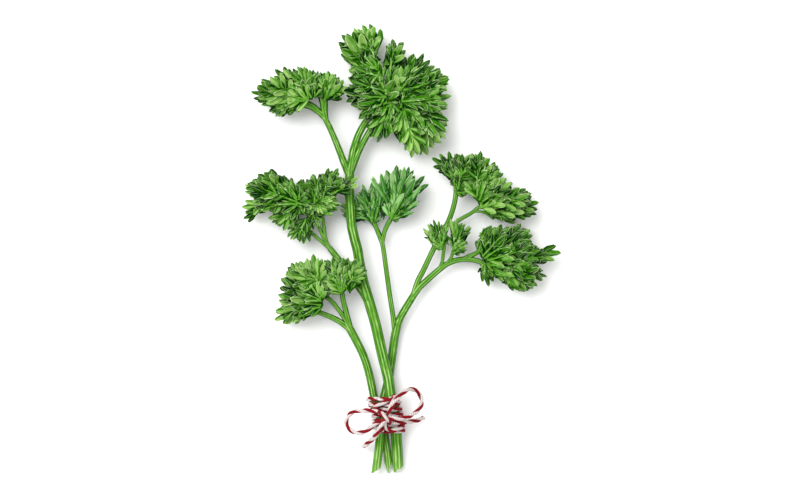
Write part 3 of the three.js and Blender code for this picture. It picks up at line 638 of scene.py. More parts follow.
windings = []
for i in range(TIE_TURNS * TURN_STEPS + 1):
    y = TIE_PLACE + TIE_PITCH * (i / TURN_STEPS - TIE_TURNS / 2)
    angle = math.pi / 2 - i * math.pi / (TURN_STEPS / 2)
    reach = Vector((math.cos(angle), 0, math.sin(angle)))
    rings = [stalk_at(branches, y) + reach * (radius + TWINE_GAP + TWINE_DIAMETER / 2)
             for branches, radius in ((MIDDLE_STALK, STALK_RADII_AT_TIE["middle"]),
                                      (LEFT_STALK, STALK_RADII_AT_TIE["left"]),
                                      (RIGHT_STALK, STALK_RADII_AT_TIE["right"]))]
    outermost = max(rings, key=lambda p: p.dot(reach))
    windings.append((outermost.x, y, outermost.z))
strands = (windings, CROSSING_TURN, LOWER_TURN, NIP, UPRIGHT_STRAND)
binding = joined("twine_wound_and_knotted", [twine("winding", points)[0] for points in strands])
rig.ride(binding, "root")
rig.replaces(binding, "twine_binding")
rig.slot(binding, "twine")


# Leaves: each head is a spray of curled fans on thin pale ribs. A fan is a soft thin blade,
# pleated near its stem and divided into pointed lobes, folded along their veins and paler at
# their rims.
LEAF_THICKNESS = 0.022
LOBE_COLUMNS = 2
LOBE_PLACES = [0, 0.3, 0.58, 0.74, 0.9, 1]
LOBE_WIDTHS = [0.16, 0.7, 0.98, 0.82, 0.6, 0.03]
ROW = LOBE_COLUMNS + 1
GOLDEN_TURN = math.pi * (3 - math.sqrt(5))
UP = Vector((0, 0, 1))


def lobe(fan, start, lean, length, width, fold, curl):
    """Adds one lobe to the fan being edited: folded, drawn out row by row to a point, leaned."""
    bpy.ops.object.mode_set(mode="OBJECT")
    first = len(fan.data.vertices)
    bpy.ops.object.mode_set(mode="EDIT")
    rows = len(LOBE_PLACES) - 1
    bpy.ops.mesh.primitive_grid_add(x_subdivisions=LOBE_COLUMNS, y_subdivisions=rows, size=1,
                                    location=(0, 0.5, 0))
    whole = range(first, first + ROW * len(LOBE_PLACES))
    pick(fan, [i for i in whole if (i - first) % ROW != 1])
    bpy.ops.transform.translate(value=(0, 0, fold / 2))
    for row, (place, share) in enumerate(zip(LOBE_PLACES, LOBE_WIDTHS)):
        pick(fan, whole[row * ROW:(row + 1) * ROW])
        folded = width * share * min(1, 0.35 + place)
        bpy.ops.transform.resize(value=(width * share, 1, folded), center_override=(0, 0, 0))
        moved = place * length - row / rows
        bpy.ops.transform.translate(value=(0, moved, curl * length * place ** 2.2))
    pick(fan, whole)
    bpy.ops.transform.rotate(value=lean, orient_axis="Z", center_override=(0, 0, 0))
    bpy.ops.transform.translate(value=(0, start, 0))


def leaf_fan(name, lobes):
    """A fan of lobes, one unit long, with its stem end at the origin."""
    bpy.ops.object.select_all(action="DESELECT")
    bpy.ops.mesh.primitive_plane_add(size=1)
    made = bpy.context.object
    made.name = name
    bpy.ops.object.mode_set(mode="EDIT")
    bpy.ops.mesh.delete(type="VERT")
    for values in lobes:
        lobe(made, *values)
    bpy.ops.object.mode_set(mode="OBJECT")
    corners = ROW * len(LOBE_PLACES)
    tips, bodies = [[made.data.vertices[corners * i + ROW * row + 1].co.copy()
                     for i in range(len(lobes)) for row in rows] for rows in ((5,), (2, 3, 4))]
    # Each lobe's own tone; each fan copy later adds its own random tone and the painted shade of its layer.
    tone_and_painted_shade = made.data.attributes.new("tone_and_painted_shade", "FLOAT", "POINT")
    for i, value in enumerate(tone_and_painted_shade.data):
        value.value = 0.16 * math.sin(2.4 * (i // corners))
    wall = made.modifiers.new("wall", "SOLIDIFY")
    wall.thickness = LEAF_THICKNESS
    wall.offset = 0
    bpy.ops.object.modifier_apply(modifier="wall")
    bpy.ops.object.shade_smooth_by_angle(angle=math.radians(32))
    return made, tips, bodies


def leaf_skin(name, dark, middle, light, edge):
    """Fresh leaf with little gloss: pale rims and veins, painted shade in the pleats near its stem,
    on one half of each lobe and on the fans beneath, fine streaks, and patches about 4 mm across."""
    made, shader = material(name, {"Roughness": 0.6, "IOR": 1.4, "Specular IOR Level": 0.03})
    place = node(made, "ShaderNodeTexCoord")
    # The fan's own tone together with the painted shade of its layer.
    fan_tone_and_painted_shade = node(made, "ShaderNodeAttribute", {"attribute_name": "tone_and_painted_shade"})
    split = node(made, "ShaderNodeSeparateXYZ", links={0: place.outputs["UV"]})
    sideways = node(made, "ShaderNodeMath", {"operation": "SUBTRACT", 1: 0.5},
                    {0: split.outputs["X"]})
    across = node(made, "ShaderNodeMath", {"operation": "ABSOLUTE"}, {0: sideways.outputs[0]})
    streak_place = node(made, "ShaderNodeMapping", {"Scale": (14, 2.2, 1)},
                        {"Vector": place.outputs["UV"]})
    streaks = node(made, "ShaderNodeTexNoise", {"Scale": 1, "Detail": 3},
                   {"Vector": streak_place.outputs["Vector"]})
    patches = node(made, "ShaderNodeTexNoise", {"Scale": 260, "Detail": 2},
                   {"Vector": place.outputs["Object"]})
    toned = node(made, "ShaderNodeMath", {"operation": "MULTIPLY_ADD", 1: 0.45},
                 {0: streaks.outputs["Fac"], 2: fan_tone_and_painted_shade.outputs["Fac"]})
    patched = node(made, "ShaderNodeMath", {"operation": "MULTIPLY_ADD", 1: 0.4},
                   {0: patches.outputs["Fac"], 2: toned.outputs[0]})
    # Painted shade: one half of each lobe is darker, the other a little lighter.
    half = node(made, "ShaderNodeMapRange", {1: -0.06, 2: 0.06, 3: 0.08, 4: -0.16},
                {0: sideways.outputs[0]})
    with_painted_half_shade = node(made, "ShaderNodeMath", {"operation": "ADD"},
                  {0: patched.outputs[0], 1: half.outputs[0]})
    free = node(made, "ShaderNodeMapRange", {1: 0.42, 2: 0.62, 3: 0.0, 4: 1.0},
                {0: split.outputs["Y"]})
    # Painted shade in the pleats between the lobes near the stem.
    pleat_shade_mask = node(made, "ShaderNodeMapRange", {1: 0.25, 2: 0.5, 3: 0.0, 4: 0.3},
                 {0: across.outputs[0]})
    joined_part = node(made, "ShaderNodeMath", {"operation": "SUBTRACT", 0: 1.0},
                       {1: free.outputs[0]})
    painted_pleat_shade = node(made, "ShaderNodeMath", {"operation": "MULTIPLY"},
                  {0: pleat_shade_mask.outputs[0], 1: joined_part.outputs[0]})
    shaded = node(made, "ShaderNodeMath", {"operation": "SUBTRACT"},
                  {0: with_painted_half_shade.outputs[0], 1: painted_pleat_shade.outputs[0]})
    ramp = node(made, "ShaderNodeValToRGB", links={0: shaded.outputs[0]})
    tones = ramp.color_ramp.elements
    tones[0].position, tones[0].color = 0.35, linear(dark)
    tones[1].position, tones[1].color = 1.0, linear(light)
    between = tones.new(0.68)
    between.color = linear(middle)
    rim = node(made, "ShaderNodeMapRange", {1: 0.4, 2: 0.5, 3: 0.0, 4: 0.6},
               {0: across.outputs[0]})
    uneven = node(made, "ShaderNodeMapRange", {1: 0.42, 2: 0.6, 3: 0.15, 4: 1.0},
                  {0: patches.outputs["Fac"]})
    free_rim = node(made, "ShaderNodeMath", {"operation": "MULTIPLY"},
                    {0: rim.outputs[0], 1: free.outputs[0]})
    some_rim = node(made, "ShaderNodeMath", {"operation": "MULTIPLY"},
                    {0: free_rim.outputs[0], 1: uneven.outputs[0]})
    vein = node(made, "ShaderNodeMapRange", {1: 0.012, 2: 0.07, 3: 0.5, 4: 0.0},
                {0: across.outputs[0]})
    lines = node(made, "ShaderNodeMath", {"operation": "MAXIMUM"},
                 {0: some_rim.outputs[0], 1: vein.outputs[0]})
    lined = node(made, "ShaderNodeMix", {"data_type": "RGBA", 7: linear(edge)},
                 {0: lines.outputs[0], 6: ramp.outputs["Color"]})
    bump = node(made, "ShaderNodeBump", {"Strength": 0.3, "Distance": 0.15 * MM},
                {"Height": streaks.outputs["Fac"]})
    made.node_tree.links.new(lined.outputs[2], shader.inputs["Base Color"])
    made.node_tree.links.new(bump.outputs["Normal"], shader.inputs["Normal"])
    return made


# The lobes of each fan: where each leaves the rib, its lean, length, width, fold and curl.
BROAD_FANS = [
    leaf_fan("leaf_fan_open", [(0, 0, 1, 0.25, 0.6, 0.1), (0.05, 0.36, 0.84, 0.24, 0.7, 0.18),
                               (0.02, -0.38, 0.88, 0.24, 0.6, 0.08), (0, 0.76, 0.6, 0.2, 0.8, 0.3),
                               (0, -0.78, 0.62, 0.2, 0.8, 0.22)]),
    leaf_fan("leaf_fan_recurved", [(0, 0.05, 1, 0.25, 0.5, -0.22),
                                   (0.08, 0.44, 0.76, 0.24, 0.7, -0.1),
                                   (0, -0.34, 0.9, 0.24, 0.6, -0.18),
                                   (0.05, -0.7, 0.62, 0.2, 0.6, -0.05)]),
    leaf_fan("leaf_fan_cupped", [(0, 0, 1, 0.26, 0.9, 0.3), (0.04, 0.4, 0.82, 0.24, 1.0, 0.42),
                                 (0.1, -0.42, 0.74, 0.24, 0.9, 0.24)]),
]
NARROW_FANS = [
    leaf_fan("leaf_fan_slender", [(0, 0, 1, 0.18, 0.5, 0.05), (0.12, 0.36, 0.8, 0.17, 0.6, 0.08),
                                  (0.06, -0.4, 0.8, 0.17, 0.6, 0.1),
                                  (0.1, 0.8, 0.5, 0.14, 0.6, 0.2)]),
    leaf_fan("leaf_fan_forked", [(0, 0.08, 1, 0.2, 0.6, -0.08),
                                 (0.14, -0.36, 0.78, 0.17, 0.6, 0.06)]),
]
BROAD_FRONDS = [
    leaf_fan("leaf_frond_open", [(0, 0, 1, 0.21, 0.6, -0.2), (0, 0.29, 0.94, 0.2, 0.7, -0.12),
                                 (0, -0.3, 0.9, 0.2, 0.6, -0.2), (0, 0.58, 0.78, 0.19, 0.7, -0.04),
                                 (0, -0.58, 0.82, 0.2, 0.7, -0.12),
                                 (0, 0.92, 0.56, 0.17, 0.8, 0.14),
                                 (0, -0.9, 0.58, 0.17, 0.8, 0.08)]),
    leaf_fan("leaf_frond_wavy", [(0, 0.08, 1, 0.22, 0.7, -0.1), (0, 0.38, 0.84, 0.21, 0.8, -0.3),
                                 (0, -0.21, 0.92, 0.21, 0.6, -0.3),
                                 (0, -0.5, 0.8, 0.21, 0.8, -0.04),
                                 (0, 0.7, 0.66, 0.18, 0.7, -0.02),
                                 (0, -0.84, 0.55, 0.17, 0.8, 0.18)]),
    leaf_fan("leaf_frond_divided", [(0, 0, 1, 0.24, 0.8, -0.12), (0.3, 0.55, 0.6, 0.2, 0.8, 0.1),
                                    (0.26, -0.6, 0.6, 0.2, 0.8, 0.06),
                                    (0.06, 0.8, 0.56, 0.19, 0.8, 0.1),
                                    (0.02, -0.86, 0.6, 0.19, 0.8, 0.1)]),
]
SLENDER_FRONDS = [
    leaf_fan("leaf_frond_slender", [(0, 0, 1, 0.19, 0.7, -0.1), (0.1, 0.34, 0.8, 0.18, 0.7, -0.05),
                                    (0.04, -0.3, 0.84, 0.18, 0.7, -0.12),
                                    (0.1, -0.72, 0.52, 0.15, 0.7, 0.1)]),
    leaf_fan("leaf_frond_curled", [(0, 0.06, 1, 0.2, 0.8, 0.1),
                                   (0.06, -0.26, 0.88, 0.18, 0.8, -0.1),
                                   (0.14, 0.46, 0.66, 0.16, 0.8, 0.12)]),
]
GRASS_GREEN = leaf_skin("curled_leaf_grass_green", "#023000", "#367800", "#8cb45c", "#bcd69e")
BLUE_GREEN = leaf_skin("curled_leaf_blue_green", "#043a04", "#3b7e26", "#8cb672", "#bcd8a8")
RIB_GREEN = leaf_skin("pale_leaf_rib", "#4f8a24", "#86b45a", "#bcd69c", "#c8dfae")

# Each head: the length of its fans, the room for each, their kinds and their skin, and then its
# sprigs: where each leaves the branch, where it ends, how wide and how deep it is.
HEADS = {
    "head_crown": (17, 8.5, BROAD_FANS, GRASS_GREEN, [
        ((-10, 80, 13), (-33, 87.5, 10), 13, 20), ((-10.5, 81, 13), (-15.5, 101, 10), 14, 20),
        ((-10.5, 80, 13), (-27, 97, 10), 12, 19),
        ((-4.6, 77, 13), (-2.4, 97.5, 10), 12.5, 20), ((0.5, 71, 13), (13.5, 87.5, 10), 14, 21),
        ((2, 70.5, 13), (23, 76, 10), 12, 22), ((1.5, 65.5, 13), (24, 66.5, 10), 12, 22),
        ((5, 61, 13), (22, 51.5, 10), 14, 21), ((2, 61, 13), (8, 39, 9.5), 18, 21),
        ((6, 60, 12), (18, 45, 10), 9, 18),
        ((-4, 64, 13), (-9.5, 43.5, 10), 11, 20), ((-6, 65, 13), (-25, 58.5, 11), 10, 18),
        ((-6.5, 67.5, 13), (-30, 67.5, 11), 11, 18), ((-7, 70, 13), (-25, 76, 11), 11, 18),
        ((-8, 76, 13), (-24, 82.5, 12), 9, 18), ((-8.5, 64, 12), (-1.5, 80, 14), 17, 19),
        ((0.5, 63, 12), (3, 78, 14), 13, 19)]),
    "head_upper_left": (12, 6.2, BROAD_FANS, GRASS_GREEN, [
        ((-42, 66.5, 11), (-66.5, 72.5, 9.5), 12, 19), ((-43, 66, 10.5), (-64.5, 64, 9), 7, 15),
        ((-46, 66, 10), (-61, 58.8, 9), 6.5, 13), ((-46, 66, 10), (-51.5, 58, 9), 8, 13),
        ((-41, 67, 11), (-58, 80, 10), 10.5, 18), ((-39.5, 67.5, 11), (-47, 82, 10), 11.5, 18),
        ((-38, 68, 11), (-38.5, 81, 10), 7.5, 15), ((-32.5, 66, 11), (-32.5, 80, 10), 8.5, 15),
        ((-31.5, 66.5, 11), (-24, 78.5, 9.5), 8, 14)]),
    "head_mid_left": (10, 5.2, BROAD_FANS, GRASS_GREEN, [
        ((-46, 21, 12), (-70.5, 30, 10), 12, 19), ((-46, 22, 12), (-62.5, 37, 10), 13, 19),
        ((-46, 23, 12), (-53, 35.5, 10.5), 10, 17), ((-46, 20, 11), (-72.5, 19, 9.5), 11, 17),
        ((-57, 19, 10), (-71, 13.5, 9), 6, 11),
        ((-46, 19.5, 10), (-57.5, 9.5, 8.5), 11, 15), ((-42, 13, 9), (-47, 2, 7), 12, 13),
        ((-45, 22, 12), (-43, 35.5, 10.5), 8, 15), ((-38, 20.5, 12), (-37, 35.5, 11), 9, 15),
        ((-35, 21.5, 12.5), (-29, 37, 12), 10, 15), ((-34, 22, 13), (-17.5, 32, 16.5), 8, 9),
        ((-36, 21, 12), (-24.5, 22.5, 14), 7, 9), ((-37, 20, 12), (-27.5, 13, 12), 5, 7),
        ((-46, 20.5, 12), (-36, 18, 13), 7, 12), ((-44, 18, 11), (-40, 11, 10), 7, 9),
        ((-38.5, 19, 11), (-39.6, 8.5, 9), 4, 6)]),
    "leaf_low_left": (14, 6.6, BROAD_FANS, GRASS_GREEN, [
        ((-36, -26, 10), (-57.5, -29.5, 9), 7, 15), ((-38, -26.6, 9), (-50.4, -33.4, 8), 4, 8),
        ((-35.5, -25, 10), (-56, -22, 10), 10, 18), ((-35.5, -23, 10), (-54.5, -13.5, 10), 10, 19),
        ((-35.5, -22, 10), (-49, -4.5, 10), 12, 19), ((-35, -21, 10), (-39.5, -2, 10), 10, 18),
        ((-34.5, -21, 10), (-33.3, -8, 10), 6, 12)]),
    "leaf_low_middle": (12, 6.2, BROAD_FANS, GRASS_GREEN, [
        ((-26.5, -19, 11), (-34.5, -4, 13), 7, 10), ((-26.3, -19, 11.5),
                                                     (-30.5, -1.5, 13.5), 6.5, 10),
        ((-26, -19, 11.5), (-25, -2, 14.5), 7, 11), ((-25.8, -19, 12), (-20.6, -2.5, 15), 6, 9),
        ((-25.5, -18.5, 12.5), (-13.6, -4, 17), 5, 7)]),
    "leaf_centre_left": (13, 9.0, NARROW_FANS, BLUE_GREEN, [
        ((-16.5, 15.2, 4.2), (-28.5, 14.4, 3.4), 4.4, 4), ((-13.5, 14.3, 4.2),
                                                           (-28.3, 20.2, 3.6), 6, 4.5)]),
    "leaf_centre_middle": (14, 8.0, NARROW_FANS, BLUE_GREEN, [
        ((-12.5, 12.5, 6.8), (-18.6, 30.6, 7.5), 6, 6), ((-12.3, 12.5, 6.8),
                                                         (-13.5, 32.6, 8), 6, 7),
        ((-11.5, 12, 7), (-7, 27.5, 8), 5.5, 6)]),
    "leaf_centre_right": (15, 8.0, NARROW_FANS, BLUE_GREEN, [
        ((-3.8, 13.7, 8), (-10, 35, 9.2), 6.5, 8), ((-3.8, 13.7, 8), (-2, 38.8, 9.8), 8, 9),
        ((-3.8, 13.7, 8), (5, 39.5, 9.5), 9, 10), ((-3.6, 13.7, 8), (12, 34, 9), 8.5, 10),
        ((-3.5, 13.5, 8), (9, 23.5, 8), 5, 7), ((-3.3, 13.3, 7.5), (6, 16.3, 6.5), 3.5, 5)]),
    "head_upper_right": (12, 5.8, BROAD_FANS, GRASS_GREEN, [
        ((24.5, 31, 9.5), (9.6, 38.8, 9), 6.5, 12), ((25, 26, 9.5), (14.5, 42, 9), 6.5, 13),
        ((24.6, 23, 9.2), (23, 36, 9.5), 5, 8), ((25.5, 25, 9.5), (36.5, 26, 10), 5, 8),
        ((25, 26, 9.5), (20.5, 43.5, 9.5), 8, 16),
        ((26, 27, 10), (28.5, 44.5, 9.5), 10, 18), ((34.5, 24, 10), (34.5, 44.5, 9.5), 9, 19),
        ((35.5, 22, 10), (43.5, 41, 9.5), 10.5, 19), ((36, 20.5, 10), (51, 32, 9.5), 10, 18),
        ((37, 18.5, 10), (61.5, 25.5, 9), 9.5, 18), ((38, 16.5, 10), (63.5, 18, 8.5), 8.5, 16),
        ((39, 15.5, 9), (56.5, 12.2, 7.5), 5.5, 10), ((37.5, 16, 8.5), (44.5, 11.3, 7), 4.5, 7)]),
    "head_lower_right": (12, 5.8, BROAD_FANS, GRASS_GREEN, [
        ((35, -1, 9.5), (39.5, 14, 11), 6.5, 10), ((36, -1, 9.5), (46, 12, 10.8), 5.5, 11),
        ((37, -3, 10), (50, 11, 10.5), 8, 14), ((38, -4, 10), (59, 11, 10), 12, 17),
        ((40, -5, 10), (64.5, 3, 10), 10, 19), ((46, -5, 10), (73, -3, 9), 7.5, 17),
        ((47, -6, 10), (70.5, -8.7, 9), 4.5, 13), ((40, -7, 10), (67.5, -11.5, 9), 7.5, 18),
        ((42, -8.5, 10), (62.5, -19, 8.5), 9, 17), ((43, -9.5, 9.5), (56, -20.5, 8.5), 8, 14),
        ((38, -6.5, 8.5), (37.3, -17.5, 6), 6.5, 8), ((39, -7, 8.5), (43.5, -13.5, 6.5), 3.5, 6)]),
    "leaf_small_left": (11, 8.0, NARROW_FANS, GRASS_GREEN, [
        ((18.6, 1, 10.8), (6.5, 10, 12), 6, 5), ((18.6, 1.5, 10.8), (14.5, 15, 12.5), 6, 5),
        ((18.6, 1.5, 11), (22, 15, 12.5), 4.5, 4), ((18.6, 0, 10.8), (10.5, 4, 11.5), 4, 4)]),
    "leaf_small_right": (11, 8.0, NARROW_FANS, GRASS_GREEN, [
        ((23.6, 0, 10.8), (25.1, 15, 12.5), 5, 5), ((23.7, 0, 10.8), (31.5, 11.8, 12), 7.5, 5),
        ((23.7, -0.5, 10.8), (32, 5.8, 11.5), 5, 4), ((23.7, -2, 10.5), (29.8, 1.8, 11), 3.5, 3)]),
}
# The gaps between sprigs that every lobe keeps out of: place and radius.
GAPS = [
    (-7.6, 95, 1.2), (-8, 88.5, 1.6), (-7.4, 91.5, 1.3), (-53.5, 80.6, 1.4), (-27.5, 79.5, 1.7),
    (-25, 81.3, 1.7), (-24, 78, 2.1), (-22, 82.8, 1.2), (-21.5, 78.3, 1.1), (-19, 82.6, 1),
    (-17.3, 81.6, 0.7), (-8.4, 85, 1.5), (-7.8, 81.5, 1.1), (1.2, 82.5, 0.9), (-37.5, 65.2, 1.6),
    (-30.5, 67, 0.8), (-28, 68.2, 0.7), (-25, 69, 0.7), (-24, 74.8, 1.3), (-59.5, 62.3, 1.6),
    (-57, 58, 1.3), (-50.5, 58.6, 1.1), (-47, 60, 1), (-24.6, 63.8, 1), (-22.5, 62, 2),
    (-20.5, 57.5, 1), (-20, 61, 1.3), (-19.5, 52.5, 1), (-7.4, 53, 0.9), (-5, 47, 1),
    (-3.6, 49.6, 1.3), (-1.8, 47.5, 1.7), (-60.5, 36.9, 1), (-57.5, 37.4, 1.7), (-53.5, 35.2, 2),
    (-36, 35.5, 1), (-33.5, 35, 1), (-1.6, 44.5, 2), (46.2, 36.6, 2), (47.2, 35, 1.5),
    (-49.5, 33.8, 2), (-46.8, 30.7, 1.6), (-45.3, 31.5, 1.2), (-41.8, 32.8, 1.5),
    (-14.3, 28.5, 1.3), (12.5, 33.6, 1.5), (14.4, 31.4, 3), (14.6, 33.6, 1.6), (18.4, 27.4, 1.6),
    (19, 30.3, 3.3), (19.6, 33, 0.9), (22.2, 27, 1.9), (48.8, 34, 1.8), (49, 31.2, 1.5),
    (51.6, 31, 2), (55, 29, 1.8), (57.6, 27.8, 1.2), (-67.3, 22, 1), (-62, 15, 1.4),
    (-59.5, 15.5, 1.2), (-58.5, 15.7, 1.2), (-26.5, 23.5, 1.6), (-8, 16, 1.2), (8, 17.5, 1.5),
    (10, 23.5, 2.2), (30.8, 21.4, 3), (-65, 12.5, 1.5), (-64, 14.2, 1.6), (-63, 10, 2),
    (-62.5, 12.4, 1.6), (-61, 14.6, 1.6), (-60, 8.4, 1.4), (-59.5, 10.5, 1), (-52, 10.4, 1.2),
    (-43, 13.7, 1.2), (-36.8, 7.5, 2), (-26, 12.5, 1.5), (-19, 10.4, 1.5), (-18.5, 12.2, 1.9),
    (-14.4, 10.6, 1.2), (2, 12.5, 2), (6, 14.2, 2), (8.5, 5.5, 1.8), (17.3, 8.5, 0.9),
    (22, 5.5, 0.8), (34, 7.5, 1.7), (34.2, 5.5, 1.5), (35.6, 9, 1.3), (39.5, 13.6, 1.2),
    (42, 12.2, 1.5), (43.5, 11.6, 1.2), (46.5, 11.5, 1), (50.5, 11.2, 0.9), (53, 12.3, 1.2),
    (57, 11.3, 1.5), (62.5, 5.5, 2.2), (11.5, 3, 1.8), (14, 1.2, 1.2), (30.6, 4.6, 1.3),
    (31, 0.8, 1.2), (32, 4, 2), (32.6, 1.5, 1.3), (33, -2.6, 0.8), (59.6, 4.6, 1.3),
    (61.6, 3, 1.3), (66, 2.2, 2), (-19.2, -12.7, 1), (34.6, -12, 1.2), (35, -9, 1),
    (43.5, -13.4, 1), (46, -13.8, 0.8), (60.5, -6.7, 1.2), (61, -14.3, 1.2), (61, -6.6, 0.9),
    (63.5, -7.3, 1.3), (64, -8.4, 0.9), (67, -6.8, 1.5), (69.6, -6, 1.2), (-22, -17.8, 1.5),
    (41.6, -16.6, 1.2), (43, -18, 1.5), (45, -16.6, 2), (47.5, -17, 1.3), (48.5, -19.6, 1.8),
    (52, -20.6, 1.2), (52, -19.2, 1.2), (55.5, -20.8, 1), (-44.6, -33.4, 1.7), (-42, -34.6, 2),
    (-41, -32.2, 1.9), (-38.5, -33, 1.6), (-37.5, -31, 1.6), (-50, -36.6, 1.1), (-47, -35.8, 1.4),
    (-46, -37.4, 1.6), (-44, -35.6, 1.6), (-40.5, -35.2, 1.6)
]
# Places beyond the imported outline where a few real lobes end, and how far past it others may.
OUTLIERS = [
    (-20, 96, 1.7), (-9.5, 97, 1.6), (-30.8, 86, 2.6), (-29.8, 90, 2), (-29.4, 86.6, 2.5),
    (-28.5, 90, 1.6), (-28, 90.5, 2.2), (-27, 93, 1.6), (-25, 94, 3), (-24, 94, 2.8),
    (-4, 93, 2.8), (-3.5, 93.4, 3.2), (-0.6, 92.4, 1.7), (0, 91.6, 2), (2.2, 87.5, 1.7),
    (8.2, 87.4, 1.6), (-59, 77, 1.2), (-30, 80.5, 1), (-30, 82.2, 2.1), (-29.6, 81.4, 1.3),
    (18.6, 76.6, 1), (-64.5, 73.5, 1), (-29, 66, 1.6), (-26, 66, 1.7), (-24.5, 65.7, 1.2),
    (21.4, 66, 1.4), (21.6, 73, 1.1), (-63, 65, 1.4), (-21.5, 59, 1.6), (-20.5, 58.5, 2),
    (-19.5, 57.5, 1.3), (21, 62, 1.2), (-14.8, 54.5, 1.4), (-13.6, 49, 1.3), (-12, 48, 2.2),
    (-11.5, 47, 1.4), (-11.5, 47.6, 2), (-7.8, 46.4, 1.3), (14, 47, 3.2), (17, 48.6, 2),
    (-1, 41.6, 1.7), (-1, 42.6, 1.5), (-0.5, 37.4, 1.5), (0, 40.8, 1.4), (0, 44, 2.3),
    (3, 36.5, 1.5), (11.3, 37.2, 1.4), (12, 44, 2.6), (13, 38, 2.2), (13, 40.4, 1.3),
    (16, 38.4, 2.2), (18.5, 37.5, 1.6), (-68, 29, 1), (-64, 33, 2.2), (-62.5, 34.5, 1.8),
    (-44.5, 32, 1.5), (-27, 33.5, 1.4), (-18.5, 31, 1.5), (-17.5, 27, 1.2), (-9, 33.5, 1.6),
    (7, 34.5, 2), (10.5, 33, 1.5), (27.5, 25.7, 1.3), (-70.2, 17.6, 1.5), (-69, 16, 2.7),
    (-67, 15.5, 2), (34.5, 17.5, 1.1), (34.8, 21, 1.3), (-68.6, 14.6, 1.6), (-56.5, 11, 2.2),
    (-49.6, 8, 2.6), (-49.5, 6, 2), (-48.6, 8, 2.2), (70.6, -2.8, 1.2), (-52, -13.6, 1.3),
    (-49.5, -7, 1.6), (67, -11, 1), (62.6, -16.5, 1.3), (-55.5, -31, 1.2)
]
FRINGE = [(0, 0), (1.9, 0), (-1.9, 0), (0, 1.9), (0, -1.9)]
FAN_SHARES = (1, 0.86, 0.73, 0.6)
SPREAD_FROM = -0.55
SPREAD_LENGTH = 1.54
OVERLAP = 0.86
TONES = (0.0, 0.52)
# The layers of fans in a head: their spacing, their share of the sprig's size, the lowest and the
# highest part of the sprig that they cover, and how much darker they are painted, as shade on the fans beneath.
OUTER_FANS = (1, 1, -0.55, 0.72, 0)
INNER_FANS = (1, 0.62, -0.55, 0.72, -0.22)
LOWER_FANS = (1.3, 1.12, -0.98, -0.5, -0.2)
# Painted light: the fronds on top of each head are made a little lighter.
FROND_PAINTED_LIGHT = 0.04
# The fronds on top of a sprig: their lean, start, share of the sprig's length, and height.
TOP_FRONDS = [(0, 0.32, 0.7, 5), (0.4, 0.2, 0.66, 3.4), (-0.42, 0.24, 0.66, 3),
              (0.1, -0.06, 0.6, 4.4), (-0.5, -0.04, 0.5, 3.6)]
# The ribs of a sprig: their lean, where they start and end along it, and their radius.
RIB_SPREAD = [(0, -0.02, 0.62, 0.5), (0.5, 0.14, 0.5, 0.34), (-0.5, 0.22, 0.56, 0.34)]
RIB_STEP = 0.9
RIB_SINK = 0.1
RIB_TAPER = 0.6
SHORTEST_RIB = 4
LOWEST_FAN = 0.3
RESTING_FAN = 0.5
SURFACE_GAP = 0.1
SURFACE_BEND = 0.3
BEND_REACH = 3


def outline(root, tip, wide, deep):
    """The middle, the half sizes and the turn of the egg shape that a sprig fills."""
    root, tip = Vector(root), Vector(tip)
    along = (tip - root).normalized()
    across = along.cross(UP).normalized()
    turn = Matrix((across, along, across.cross(along))).transposed()
    return root, (root + tip) / 2, Vector((wide / 2, (tip - root).length / 2, deep / 2)), turn


def deep_in(sprig, place):
    """How deep a place lies in a sprig: 0 in its middle, 1 on its outline."""
    _, middle, half, turn = sprig
    local = turn.transposed() @ (place - middle)
    return Vector(a / b for a, b in zip(local, half)).length


def fan_places(sprigs, length, spacing, layer, chance, floor=0):
    """Where the fans of one layer end, which way they point and face, and how long they are."""
    wider, share, lowest, highest, _ = layer
    spacing = spacing * wider
    for sprig in sprigs:
        root, middle, half, turn = sprig
        girths = half.x * half.y + half.y * half.z + half.z * half.x
        surface = 4 * math.pi / 3 * girths * share ** 2
        count = max(4, round(surface / spacing ** 2))
        for i in range(count):
            forward = SPREAD_FROM + SPREAD_LENGTH * (i + 0.5) / count
            angle = i * GOLDEN_TURN + chance.random() * 0.6
            ring = math.sqrt(1 - forward ** 2)
            site = Vector((ring * math.cos(angle), forward, ring * math.sin(angle)))
            outward = (turn @ Vector(a / b for a, b in zip(site, half))).normalized()
            place = middle + turn @ Vector(a * b for a, b in zip(site, half)) * share
            place += outward * chance.uniform(-0.9, 0.3)
            if floor:
                place.z = max(place.z, floor)
            if not lowest < site.z < highest or place.z < LOWEST_FAN:
                continue
            if any(other is not sprig and deep_in(other, place) < OVERLAP * share
                   for other in sprigs):
                continue
            jitter = Vector(chance.uniform(-1, 1) for _ in range(3))
            reach = place - root
            reach.z *= 0.35
            point = (reach.normalized() + outward * 0.35 + jitter * 0.3).normalized()
            facing = outward * 0.4 + UP + Vector(chance.uniform(-1, 1) for _ in range(3)) * 0.4
            size = min(length * share ** 0.5 * chance.uniform(0.8, 1.15), reach.length * 1.05)
            yield place, point, facing, size


def within(place, circles):
    """Whether a place in metres lies over one of these circles."""
    flat = (place / MM - PLACE).xy
    return any((flat - Vector((x, y))).length < radius for x, y, radius in circles)


def covered(near, place):
    """Whether a place lies over the head's own outline, give or take its fringe."""
    if within(place, OUTLIERS):
        return True
    return any(near.ray_cast(place + Vector((x * MM, y * MM, 1)), -UP)[0] for x, y in FRINGE)


def fitted(near, tips, bodies, place, turn, size):
    """The fan's position, drawn in towards its stem end until it leaves the gaps free and all its
    lobes but one end in the head."""
    start = (place - turn.col[1].xyz * size + PLACE) * MM
    for share in FAN_SHARES:
        stand = Matrix.Translation(start) @ turn @ Matrix.Scale(size * share * MM, 4)
        if any(within(stand @ point, GAPS) for point in tips + bodies):
            continue
        inside = [covered(near, stand @ tip) for tip in tips]
        if inside[0] and sum(inside) >= len(tips) - 1:
            return stand
    return None


